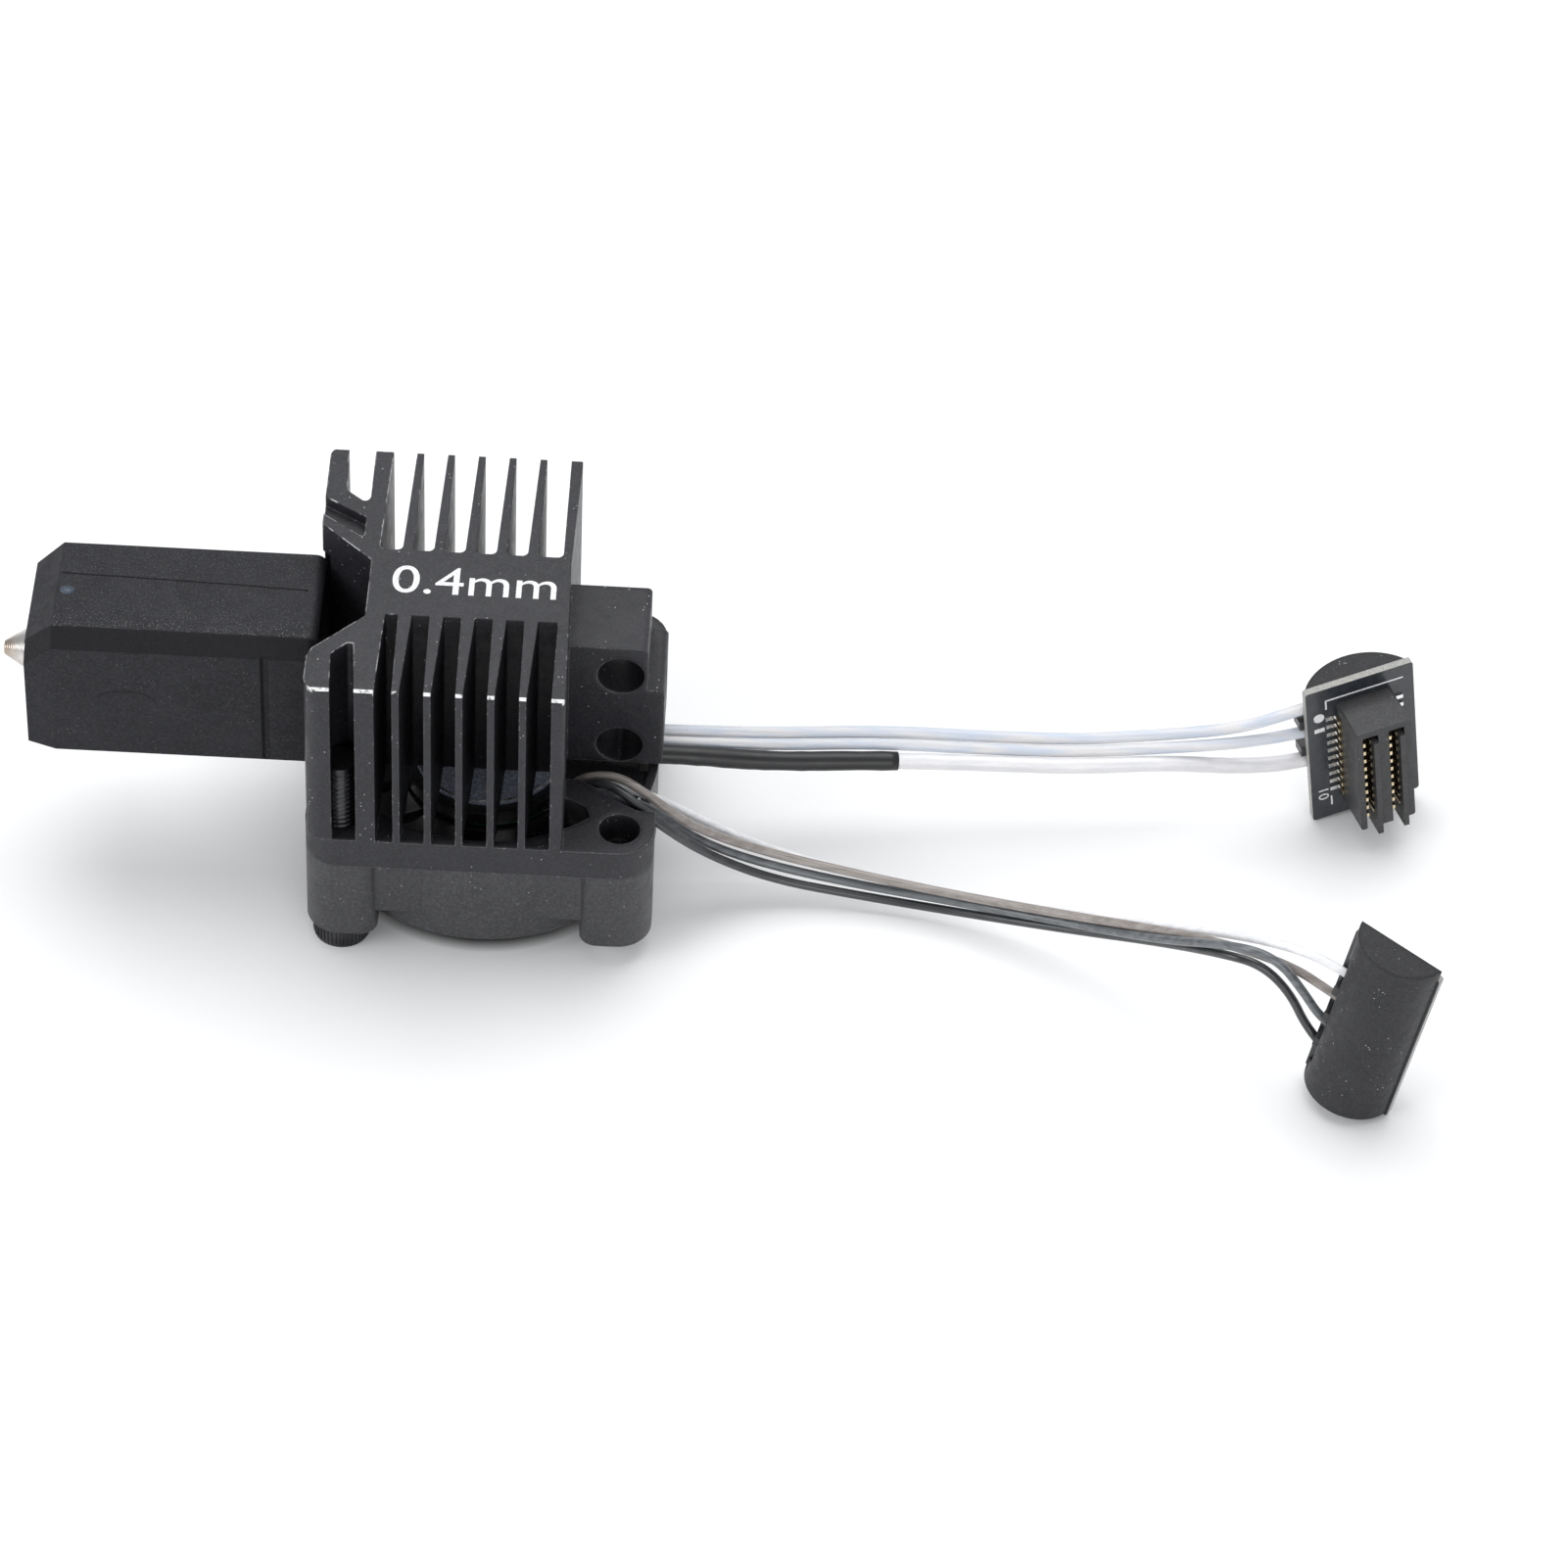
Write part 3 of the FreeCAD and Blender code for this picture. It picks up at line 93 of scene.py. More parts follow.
world = bpy.data.worlds.new("studio")
world.use_nodes = True
world.node_tree.nodes["Background"].inputs["Color"].default_value = (0.95, 0.97, 1.0, 1)
world.node_tree.nodes["Background"].inputs["Strength"].default_value = 0.62
scene.world = world
scene.view_settings.view_transform = "Standard"
scene.view_settings.look = "None"


# ---------------------------------------------------------------- node materials

class Surface:
    """A node material, built step by step. Lengths are in metres, on object coordinates."""

    def __init__(self, name, color=(0.5, 0.5, 0.5), **sockets):
        self.material = bpy.data.materials.new(name)
        self.material.use_nodes = True
        self.tree = self.material.node_tree
        self.tree.nodes.clear()
        output = self.node("ShaderNodeOutputMaterial")
        self.shader = self.node("ShaderNodeBsdfPrincipled")
        self.tree.links.new(self.shader.outputs[0], output.inputs[0])
        self.coords = self.node("ShaderNodeTexCoord").outputs["Object"]
        self.axes = None
        self.shader.inputs["Base Color"].default_value = (*color, 1)
        for socket, value in sockets.items():
            self.shader.inputs[socket.replace("_", " ")].default_value = value

    def node(self, kind):
        return self.tree.nodes.new(kind)

    def put(self, socket, value):
        if isinstance(value, bpy.types.NodeSocket):
            self.tree.links.new(value, socket)
        elif isinstance(value, tuple) and len(value) == 3 and socket.type == "RGBA":
            socket.default_value = (*value, 1)
        else:
            socket.default_value = value

    def set(self, name, value):
        self.put(self.shader.inputs[name], value)

    def stretched(self, scale):
        mapping = self.node("ShaderNodeMapping")
        self.put(mapping.inputs["Vector"], self.coords)
        mapping.inputs["Scale"].default_value = scale
        return mapping.outputs[0]

    def noise(self, size, detail=2.0, roughness=0.5, stretch=None):
        texture = self.node("ShaderNodeTexNoise")
        self.put(texture.inputs["Vector"], self.stretched(stretch) if stretch else self.coords)
        texture.inputs["Scale"].default_value = 1 / size
        texture.inputs["Detail"].default_value = detail
        texture.inputs["Roughness"].default_value = roughness
        return texture.outputs["Fac"]

    def cells(self, size, feature="F1"):
        texture = self.node("ShaderNodeTexVoronoi")
        texture.feature = feature
        self.put(texture.inputs["Vector"], self.coords)
        texture.inputs["Scale"].default_value = 1 / size
        return texture.outputs["Distance"]

    def axis(self, index):
        if self.axes is None:
            split = self.node("ShaderNodeSeparateXYZ")
            self.put(split.inputs[0], self.coords)
            self.axes = split.outputs
        return self.axes[index]

    def math(self, operation, a, b=0.0, clamp=False):
        item = self.node("ShaderNodeMath")
        item.operation = operation
        item.use_clamp = clamp
        self.put(item.inputs[0], a)
        self.put(item.inputs[1], b)
        return item.outputs[0]

    def vector_math(self, operation, a, b):
        item = self.node("ShaderNodeVectorMath")
        item.operation = operation
        self.put(item.inputs[0], a)
        self.put(item.inputs[1], b)
        return item.outputs["Value"]

    def geometry(self, name):
        return self.node("ShaderNodeNewGeometry").outputs[name]

    def facing(self, name):
        """x, y and z of the geometry's normal of that name."""
        split = self.node("ShaderNodeSeparateXYZ")
        self.put(split.inputs[0], self.geometry(name))
        return split.outputs

    def ramp(self, value, low, high, start=0.0, end=1.0):
        """start at low, end at high, straight between."""
        item = self.node("ShaderNodeMapRange")
        self.put(item.inputs["Value"], value)
        for socket, number in (("From Min", low), ("From Max", high), ("To Min", start), ("To Max", end)):
            item.inputs[socket].default_value = number
        return item.outputs[0]

    def mix(self, factor, a, b):
        item = self.node("ShaderNodeMix")
        item.data_type = "RGBA"
        self.put(item.inputs[0], factor)
        self.put(item.inputs[6], a)
        self.put(item.inputs[7], b)
        return item.outputs[2]

    def round_edges(self, radius):
        """Softens the shading across edges. Returns the softened normal."""
        bevel = self.node("ShaderNodeBevel")
        bevel.samples = 4
        self.put(bevel.inputs["Radius"], radius)
        return bevel.outputs[0]

    def edge(self, normal, low, high):
        """1 along edges, 0 on flat faces."""
        agreement = self.vector_math("DOT_PRODUCT", normal, self.geometry("Normal"))
        return self.ramp(self.math("SUBTRACT", 1.0, agreement), low, high)

    def bump(self, height, distance, normal=None):
        item = self.node("ShaderNodeBump")
        item.inputs["Strength"].default_value = 1.0
        item.inputs["Distance"].default_value = distance
        self.put(item.inputs["Height"], height)
        if normal is not None:
            self.put(item.inputs["Normal"], normal)
        self.set("Normal", item.outputs[0])


def grained(name, dark, light, rough, grain, depth, edge_radius=0.00015, speckle=0.0, speckle_size=0.00045,
            **sockets):
    """Moulded or blasted surface: fine grain, soft tone changes, small light dust specks.

    With depth None, the caller adds the bump. Returns the surface, its colour and its softened normal."""
    s = Surface(name, dark, **sockets)
    tone = s.noise(0.004, 3, 0.6)
    fine = s.noise(grain, 2, 0.7)
    color = s.mix(s.ramp(tone, 0.3, 0.7), dark, light)
    color = s.mix(s.ramp(fine, 0.42, 0.72, 0.0, 0.75), color, tuple(2.1 * c for c in light))
    if speckle:
        dust = s.ramp(s.cells(speckle_size), 0.13, 0.07)
        chance = s.ramp(s.noise(0.0017, 1), 0.54, 0.62, 0.0, speckle)
        color = s.mix(s.math("MULTIPLY", dust, chance), color, (0.60, 0.60, 0.61))
    s.set("Base Color", color)
    s.set("Roughness", s.ramp(s.noise(grain * 5, 2), 0.3, 0.7, rough - 0.06, rough + 0.08))
    normal = s.round_edges(edge_radius)
    if depth is not None:
        s.bump(fine, depth, normal)
    return s, color, normal


FINISH = {}

# unit vectors square to the two plugs' boards
HEATER_PLUG_FACING = (-0.349, 0.936, -0.05)
FAN_PLUG_FACING = (0.536, 0.840, -0.087)

# bead-blasted black anodising, with bare metal where the sharp corners are rubbed, and painted highlights
# along its edges
s, color, normal = grained("black_anodised", (0.009, 0.009, 0.0115), (0.016, 0.016, 0.0195), 0.42, 0.00019,
                           None, 0.00018, speckle=0.8, Specular_IOR_Level=0.36)
edge = s.edge(normal, 0.04, 0.22)
# the neck and the plate have wider rounded edges than the fins
lower = s.math("MAXIMUM", s.ramp(s.axis(2), 0.0129, 0.0123), s.ramp(s.axis(0), 0.0183, 0.0188), clamp=True)
wide_normal = s.round_edges(s.ramp(lower, 0, 1, 0.00018, 0.00045))
s.bump(s.noise(0.00013, 2, 0.7), 0.000016, wide_normal)
# bare metal on the fins' top corners, and along the front fins' rims
lean = s.math("ABSOLUTE", s.facing("Normal")[1])
bend = s.ramp(s.axis(2), 0.02615, 0.02632)
outside = s.ramp(s.math("ABSOLUTE", s.axis(1)), 0.01205, 0.0122)
rounded = s.math("MULTIPLY", s.ramp(lean, 0.30, 0.45), s.ramp(lean, 0.93, 0.86))
corner = s.math("MULTIPLY", s.math("MULTIPLY", bend, outside), rounded)
patches = s.ramp(s.noise(0.0011, 3, 0.7), 0.40, 0.50)
rubbed = s.ramp(s.noise(0.0023, 3, 0.75), 0.50, 0.58)
near_front = s.ramp(s.axis(0), 0.0052, 0.0044)
along_rim = s.math("MULTIPLY", s.math("MULTIPLY", edge, rubbed), s.math("MULTIPLY", bend, near_front))
bare = s.math("MAXIMUM", s.math("MULTIPLY", corner, patches), along_rim, clamp=True)
# painted highlight: edges are lightened to grey, more strongly on the neck and the plate
painted_edge_highlight = s.math("MULTIPLY", edge, s.ramp(lower, 0, 1, 0.18, 0.6))
chips = s.math("MULTIPLY", edge, s.math("MULTIPLY", s.ramp(s.noise(0.0004, 2, 0.7), 0.60, 0.68), 0.7))
color = s.mix(painted_edge_highlight, color, (0.20, 0.20, 0.21))
s.set("Base Color", s.mix(bare, s.mix(chips, color, (0.62, 0.62, 0.62)), (0.86, 0.86, 0.86)))
s.set("Metallic", s.math("MULTIPLY", bare, 0.85))
FINISH["black_anodised"] = s.material


def metal(name, color, rough, streak=(1, 1, 1), streak_size=0.0003, depth=0.000004, tint=None,
          edge_radius=0.0001):
    """Bare metal with fine streaks and soft stains of tint, or of a duller color."""
    s = Surface(name, color, Metallic=1.0)
    lines = s.noise(streak_size, 3, 0.6, stretch=streak)
    stain = s.noise(0.0016, 2)
    dull = tuple(0.72 * c for c in color)
    s.set("Base Color", s.mix(s.ramp(stain, 0.35, 0.7), color, tint or dull))
    s.set("Roughness", s.ramp(lines, 0.3, 0.7, rough - 0.07, rough + 0.1))
    s.bump(lines, depth, s.round_edges(edge_radius))
    return s


FINISH["steel"] = metal("steel", (0.56, 0.55, 0.53), 0.26, streak=(1, 0.1, 0.1)).material
# nozzle: turned rings along its axis, and heat tint towards its tip
TURNING_PITCH = 0.00016
s = metal("nozzle_steel", (0.62, 0.60, 0.585), 0.24, streak=(1, 0.08, 0.08), streak_size=0.00012)
turned = s.math("SINE", s.math("MULTIPLY", s.axis(0), 2 * math.pi / TURNING_PITCH))
s.bump(turned, 0.000004, s.round_edges(0.00006))
heat = s.ramp(s.axis(0), -0.0226, -0.0236)
steel = s.mix(s.ramp(s.noise(0.0006, 2), 0.4, 0.7), (0.60, 0.585, 0.57), (0.47, 0.45, 0.43))
s.set("Base Color", s.mix(heat, steel, (0.40, 0.33, 0.27)))
FINISH["nozzle_steel"] = s.material
FINISH["copper_block"] = metal("copper_block", (0.80, 0.50, 0.36), 0.32, tint=(0.60, 0.33, 0.22)).material
FINISH["spring_steel"] = metal("spring_steel", (0.50, 0.50, 0.50), 0.28, streak=(0.2, 1, 1)).material
FINISH["bronze"] = metal("bronze", (0.62, 0.44, 0.24), 0.38).material
FINISH["stator_steel"] = metal("stator_steel", (0.38, 0.38, 0.39), 0.42, streak=(0.2, 0.2, 2)).material
FINISH["copper_wire"] = metal("copper_wire", (0.72, 0.36, 0.20), 0.30, streak=(1, 1, 6),
                              streak_size=0.0002).material
FINISH["yoke_steel"] = metal("yoke_steel", (0.44, 0.44, 0.45), 0.34, streak=(0.3, 0.3, 1)).material
FINISH["gold"] = metal("gold", (0.86, 0.60, 0.27), 0.24, tint=(0.74, 0.50, 0.22),
                       edge_radius=0.00003).material
# contacts: gold, with tinned feet next to the heater plug's board
s = metal("contact_gold", (0.86, 0.60, 0.27), 0.24, edge_radius=0.00003)
foot = s.ramp(s.vector_math("DOT_PRODUCT", s.coords, HEATER_PLUG_FACING), -0.020304, -0.020184)
plated = s.mix(s.ramp(s.noise(0.0016, 2), 0.35, 0.7), (0.80, 0.66, 0.42), (0.62, 0.50, 0.30))
s.set("Base Color", s.mix(foot, plated, (0.80, 0.80, 0.79)))
FINISH["contact_gold"] = s.material
FINISH["black_screw"] = metal("black_screw", (0.085, 0.085, 0.09), 0.33, tint=(0.05, 0.05, 0.053)).material
FINISH["magnet"] = grained("magnet", (0.05, 0.05, 0.05), (0.08, 0.075, 0.07), 0.6, 0.0001,
                           0.00001)[0].material
FINISH["ceramic"] = grained("ceramic", (0.72, 0.71, 0.67), (0.80, 0.79, 0.76), 0.5, 0.00012,
                            0.000006)[0].material
FINISH["glass_bead"] = grained("glass_bead", (0.30, 0.16, 0.06), (0.36, 0.22, 0.10), 0.15, 0.0002, 0.000004,
                               Coat_Weight=0.6)[0].material

# silicone rubber with a fine grain, painted glints on its top near the front, and painted shade on the
# slanted front edge
s, color, _ = grained("silicone", (0.007, 0.007, 0.009), (0.0125, 0.0125, 0.0155), 0.56, 0.0002,
                      0.000036, 0.0003, speckle=0.35, speckle_size=0.00026, Specular_IOR_Level=0.24)
facing = s.facing("True Normal")
upward = facing[2]
# painted glints: light specks only on upward-facing top faces near the front edge, where light catches the
# grain
painted_glint = s.ramp(s.noise(0.00009, 1, 0.5), 0.64, 0.72, 0.0, 0.55)
near_edge = s.ramp(s.axis(1), -0.0022, -0.0041, 0.35, 1.0)
glint_on_top = s.math("MULTIPLY", s.ramp(upward, 0.80, 0.95), near_edge)
# painted shade: faces that slant forward and up are darkened by how they face, not by any real dye
painted_shade_on_slant = s.math("MULTIPLY", s.ramp(upward, 0.45, 0.6), s.ramp(upward, 0.9, 0.8))
painted_shade_on_slant = s.math("MULTIPLY", painted_shade_on_slant, s.ramp(facing[1], -0.3, -0.45))
color = s.mix(s.math("MULTIPLY", painted_shade_on_slant, 0.75), color, (0.002, 0.002, 0.0025))
s.set("Base Color", s.mix(s.math("MULTIPLY", painted_glint, glint_on_top), color, (0.36, 0.36, 0.38)))
FINISH["silicone"] = s.material
# gate mark's colour: a painted reflection, bluish and lighter than the silicone round it
FINISH["gate_mark_painted_reflection"] = grained("gate_mark_painted_reflection", (0.03, 0.045, 0.065), (0.05, 0.065, 0.09), 0.4, 0.00014,
                              0.00001)[0].material

FINISH["fan_plastic"] = grained("fan_plastic", (0.022, 0.022, 0.024), (0.031, 0.031, 0.034), 0.36,
                                0.00025, 0.00001, 0.00022, speckle=0.5,
                                Specular_IOR_Level=0.42)[0].material
FINISH["rotor_plastic"] = grained("rotor_plastic", (0.018, 0.018, 0.020), (0.025, 0.025, 0.027), 0.30,
                                  0.0003, 0.000006, 0.0002)[0].material
FINISH["cap_plastic"] = grained("cap_plastic", (0.012, 0.012, 0.013), (0.019, 0.019, 0.0205), 0.46,
                                0.00014, 0.00003, 0.0004, speckle=0.9, speckle_size=0.00036,
                                Specular_IOR_Level=0.3)[0].material
FINISH["comb_plastic"] = grained("comb_plastic", (0.012, 0.012, 0.013), (0.02, 0.02, 0.02), 0.35,
                                 0.0002, 0.000008, 0.00012)[0].material
FINISH["socket_plastic"] = grained("socket_plastic", (0.017, 0.017, 0.018), (0.026, 0.026, 0.027), 0.46,
                                   0.00016, 0.000012, 0.0001, speckle=0.3)[0].material

# fan motor's label: slate paper with a faint grain
FINISH["label_disc"] = grained("label_disc", (0.42, 0.46, 0.57), (0.50, 0.54, 0.65), 0.38, 0.0003,
                               0.000004, 0.0001)[0].material
# fan's circuit board: green solder mask over tracks
s, color, _ = grained("green_board", (0.012, 0.10, 0.05), (0.02, 0.15, 0.075), 0.25, 0.0004, 0.000006,
                      0.00006)
tracks = s.ramp(s.cells(0.0011, "DISTANCE_TO_EDGE"), 0.04, 0.07)
s.set("Base Color", s.mix(tracks, (0.05, 0.22, 0.12), color))
FINISH["green_board"] = s.material

# black circuit board: glossy solder mask on its faces, pale glass fibre on its cut edges
s = Surface("black_board", (0.02, 0.022, 0.026), Roughness=0.32, Coat_Weight=0.3, Coat_Roughness=0.15)
face_normal = s.geometry("True Normal")
heater_face = s.math("ABSOLUTE", s.vector_math("DOT_PRODUCT", face_normal, HEATER_PLUG_FACING))
fan_face = s.math("ABSOLUTE", s.vector_math("DOT_PRODUCT", face_normal, FAN_PLUG_FACING))
heater_side = s.ramp(s.axis(1), -0.005, 0.0)
flat = s.mix(heater_side, fan_face, heater_face)
cut_edge = s.ramp(flat, 0.72, 0.62)
fibre = s.mix(s.ramp(s.noise(0.00016, 3, 0.7), 0.4, 0.65), (0.26, 0.26, 0.25), (0.40, 0.39, 0.36))
mask = s.mix(s.ramp(s.noise(0.0005, 2), 0.4, 0.7), (0.018, 0.021, 0.026), (0.028, 0.032, 0.038))
s.set("Base Color", s.mix(cut_edge, mask, fibre))
s.set("Roughness", s.ramp(cut_edge, 0, 1, 0.30, 0.75))
s.bump(s.noise(0.0002, 2), 0.000006)
FINISH["black_board"] = s.material


def wire_finish(name, dark, light, rough=0.34, streak=0.25, coat=0.4, shine=0.12):
    """Wire insulation: streaks along the wire, and soiled patches as strong as streak."""
    s = Surface(name, dark, Coat_Weight=coat, Coat_Roughness=shine)
    along = s.noise(0.00045, 3, 0.6, stretch=(0.06, 1, 1))
    soil = s.noise(0.002, 3, 0.65)
    color = s.mix(s.ramp(along, 0.35, 0.68), dark, light)
    color = s.mix(s.ramp(soil, 0.55, 0.75, 0.0, streak), color, tuple(0.6 * c for c in dark))
    s.set("Base Color", color)
    s.set("Roughness", s.ramp(along, 0.3, 0.7, rough - 0.06, rough + 0.08))
    s.bump(s.noise(0.0003, 2, stretch=(0.2, 1, 1)), 0.00001)
    FINISH[name] = s.material


wire_finish("brown_wire", (0.20, 0.175, 0.16), (0.31, 0.28, 0.26))
wire_finish("grey_wire", (0.075, 0.082, 0.088), (0.15, 0.16, 0.17))
wire_finish("black_wire", (0.016, 0.018, 0.02), (0.035, 0.038, 0.042))
wire_finish("white_wire", (0.70, 0.71, 0.73), (0.88, 0.88, 0.88), streak=0.15)
wire_finish("white_insulation", (0.66, 0.655, 0.67), (0.76, 0.75, 0.765), rough=0.4, streak=0.06)
wire_finish("lead_insulation", (0.55, 0.56, 0.60), (0.72, 0.72, 0.74))
wire_finish("shrink_sleeve", (0.005, 0.005, 0.0055), (0.010, 0.010, 0.011), rough=0.38, coat=0.05,
            shine=0.25)

s = Surface("clear_insulation", (0.95, 0.955, 0.97), Roughness=0.14, IOR=1.34, Transmission_Weight=0.45,
            Specular_IOR_Level=0.6)
s.set("Base Color", s.mix(s.ramp(s.noise(0.0006, 2, stretch=(0.02, 1, 1)), 0.4, 0.65), (0.93, 0.915, 0.915),
                          (0.76, 0.82, 0.92)))
s.bump(s.noise(0.0005, 2, stretch=(0.1, 1, 1)), 0.00001)
FINISH["clear_insulation"] = s.material
s = Surface("conductor", (0.70, 0.72, 0.76), Roughness=0.35)
s.set("Base Color", s.mix(s.ramp(s.noise(0.0009, 1, stretch=(0.02, 1, 1)), 0.42, 0.58), (0.93, 0.91, 0.90),
                          (0.78, 0.84, 0.94)))
s.bump(s.noise(0.0002, 2, stretch=(0.2, 1, 1)), 0.00001)
FINISH["conductor"] = s.material
s = Surface("white_print", (0.80, 0.80, 0.80), Roughness=0.6)
worn = s.ramp(s.noise(0.00012, 3, 0.7), 0.45, 0.62)
s.set("Base Color", s.mix(worn, (0.82, 0.82, 0.82), (0.52, 0.52, 0.53)))
s.bump(s.noise(0.0001, 2), 0.000006)
FINISH["white_print"] = s.material
# floor: pale, with a painted shadow, a dark disc under the fan, so that the floor doesn't shine up through
# the fan
FAN_CENTRE = (0.0111, 0, 0)
s = Surface("floor", (0.86, 0.86, 0.86), Roughness=0.65)
# painted shadow: the floor's colour goes dark within about 11 mm of the fan's centre
painted_shadow_under_fan = s.ramp(s.vector_math("DISTANCE", s.coords, FAN_CENTRE), 0.0118, 0.0105)
pale = s.mix(s.ramp(s.noise(0.05, 3), 0.3, 0.7), (0.86, 0.86, 0.86), (0.89, 0.89, 0.89))
s.set("Base Color", s.mix(painted_shadow_under_fan, pale, (0.03, 0.03, 0.03)))
FINISH["floor"] = s.material

NODE_SLOTS = {
    "heatsink": "black_anodised", "nozzle": "nozzle_steel", "heat_break": "steel",
    "heater_block": "copper_block", "ceramic_heater": "ceramic", "thermistor": "glass_bead",
    "heater_clip": "spring_steel",
    "silicone_sock": "silicone", "fan_frame": "fan_plastic", "fan_label_disc": "label_disc",
    "fan_circuit_board": "green_board", "fan_bearing": "bronze", "stator_core": "stator_steel",
    "stator_windings": "copper_wire", "fan_rotor": "rotor_plastic", "rotor_yoke": "yoke_steel",
    "magnet_ring": "magnet", "fan_shaft": "steel", "fan_screw_near": "black_screw",
    "fan_screw_far": "black_screw", "inner_leads": "lead_insulation",
    "heater_plug_board": "black_board", "heater_plug_cap": "cap_plastic", "heater_plug_comb": "comb_plastic",
    "heater_plug_socket": "socket_plastic", "heater_plug_contacts": "contact_gold",
    "fan_plug_board": "black_board", "fan_plug_cap": "cap_plastic", "fan_plug_comb": "comb_plastic",
    "fan_plug_header": "socket_plastic", "fan_plug_pins": "gold",
}
for name, slot in NODE_SLOTS.items():
    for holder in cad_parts[name].material_slots:
        holder.material = FINISH[slot]


# ---------------------------------------------------------------- pieces

def add_mesh(name, vertices, faces, slot, body="hotend", smooth=True, finish=None):
    """A piece that rides on body. Its material is finish, or else the slot's own."""
    data = bpy.data.meshes.new(name)
    data.from_pydata([tuple(vertex) for vertex in vertices], [], faces)
    data.validate()
    mesh = bmesh.new()
    mesh.from_mesh(data)
    bmesh.ops.remove_doubles(mesh, verts=mesh.verts, dist=1e-7)
    bmesh.ops.recalc_face_normals(mesh, faces=mesh.faces)
    mesh.to_mesh(data)
    mesh.free()
    for polygon in data.polygons:
        polygon.use_smooth = smooth
    data.materials.append(FINISH[finish or slot])
    piece = bpy.data.objects.new(name, data)
    scene.collection.objects.link(piece)
    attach(piece, body)
    return piece


def sweep(path, outline, closed_ends=True):
    """Vertices and faces of a tube. outline(index, count) gives a ring's points as (side, up) pairs."""
    vertices, faces = [], []
    last = len(path) - 1
    tangents = [(path[min(i + 1, last)] - path[max(i - 1, 0)]).normalized() for i in range(len(path))]
    side = tangents[0].orthogonal().normalized()
    size = 0
    for i, point in enumerate(path):
        side = (side - tangents[i] * side.dot(tangents[i])).normalized()
        upward = tangents[i].cross(side)
        section = outline(i, len(path))
        size = len(section)
        vertices += [point + side * a + upward * b for a, b in section]
        if i:
            low = (i - 1) * size
            faces += [(low + j, low + (j + 1) % size, low + size + (j + 1) % size, low + size + j)
                      for j in range(size)]
    if closed_ends:
        faces.append(tuple(range(size)))
        faces.append(tuple(len(vertices) - 1 - j for j in range(size)))
    return vertices, faces


def circle(radius, sides, middle=(0.0, 0.0)):
    return [(middle[0] + radius * math.cos(2 * math.pi * j / sides),
             middle[1] + radius * math.sin(2 * math.pi * j / sides)) for j in range(sides)]


def joined(*shapes):
    """One list of vertices and one of faces, from several shapes' lists."""
    vertices, faces = [], []
    for more_vertices, more_faces in shapes:
        first = len(vertices)
        vertices += more_vertices
        faces += [tuple(first + index for index in face) for face in more_faces]
    return vertices, faces


# cords: the points are the control points of each cord's NURBS line
THERMISTOR_1 = [(17.0, 1.5, 10.2), (20.4, 1.6, 10.25), (25.2, 2.0, 9.95), (31.6, 2.9, 9.25),
                (39.4, 4.0, 8.95), (47.0, 4.9, 8.05), (54.2, 5.7, 7.4), (60.8, 6.3, 7.8),
                (66.0, 6.2, 8.9), (69.6, 6.45, 10.5), (72.2, 7.4, 10.9)]
THERMISTOR_2 = [(17.0, 0.4, 10.2), (20.4, 0.5, 10.2), (25.2, 0.95, 9.75), (31.6, 2.05, 8.9),
                (39.4, 3.2, 8.5), (47.0, 4.05, 7.6), (54.2, 4.85, 6.95), (60.8, 5.5, 7.2),
                (66.0, 5.6, 7.95), (69.9, 6.4, 8.3), (72.5, 7.4, 8.35)]
HEATER_CABLE = [(17.0, -0.8, 10.1), (20.4, -0.8, 10.1), (25.2, -0.35, 9.85), (31.6, 0.85, 8.35),
                (39.4, 2.1, 7.8), (47.0, 3.2, 6.95), (54.3, 3.92, 6.36), (60.8, 4.72, 6.43),
                (66.2, 5.6, 5.55), (70.4, 6.55, 5.3), (72.9, 7.55, 5.5)]
FAN_WHITE = [(16.95, -2.6, 8.2), (18.6, -3.85, 9.7), (20.9, -4.4, 10.4), (23.6, -4.6, 9.5),
             (26.6, -3.94, 6.96), (31.0, -3.5, 3.96), (37.4, -3.88, 2.18), (45.1, -5.41, 1.94),
             (53.3, -8.44, 3.65), (60.2, -12.59, 7.15), (65.5, -16.15, 10.37), (69.6, -18.6, 11.8),
             (72.2, -19.8, 11.5), (74.3, -21.2, 11.15)]
FAN_BROWN = [(16.55, -3.35, 8.2), (17.5, -3.9, 10.0), (18.9, -4.3, 11.25), (20.8, -4.7, 11.6),
             (22.4, -5.5, 11.2), (24.0, -6.05, 10.25), (26.4, -5.62, 7.65), (31.0, -4.4, 4.46),
             (37.4, -4.68, 2.98), (45.1, -6.21, 2.74), (53.3, -9.24, 4.35), (60.3, -13.53, 7.7),
             (65.2, -16.96, 10.08), (69.4, -18.8, 10.1), (71.9, -19.9, 9.1), (73.9, -21.2, 8.65)]
FAN_GREY = [(16.05, -3.95, 8.2), (18.4, -4.55, 9.6), (20.9, -5.5, 10.4), (23.6, -5.7, 9.3),
            (26.8, -5.45, 6.08), (31.4, -4.78, 3.45), (38.0, -4.95, 2.01), (45.9, -6.37, 2.04),
            (54.0, -9.65, 3.85), (60.2, -14.2, 7.38), (65.2, -18.3, 11.57), (68.1, -19.4, 11.5),
            (70.2, -19.95, 8.8), (71.6, -20.25, 6.5), (73.4, -21.2, 5.75)]
FAN_BLACK = [(15.4, -4.7, 8.0), (16.9, -4.8, 9.3), (18.9, -4.95, 11.3), (20.6, -5.9, 11.75),
             (22.3, -7.0, 11.1), (24.1, -7.5, 9.51), (27.4, -6.08, 5.42), (32.2, -5.34, 2.41),
             (38.6, -5.3, 1.13), (46.4, -6.68, 1.26), (54.2, -9.67, 3.18), (60.2, -13.32, 6.25),
             (64.4, -17.8, 10.08), (67.1, -18.6, 10.01), (69.3, -19.15, 7.9), (70.9, -19.65, 4.5),
             (72.8, -21.2, 3.35)]


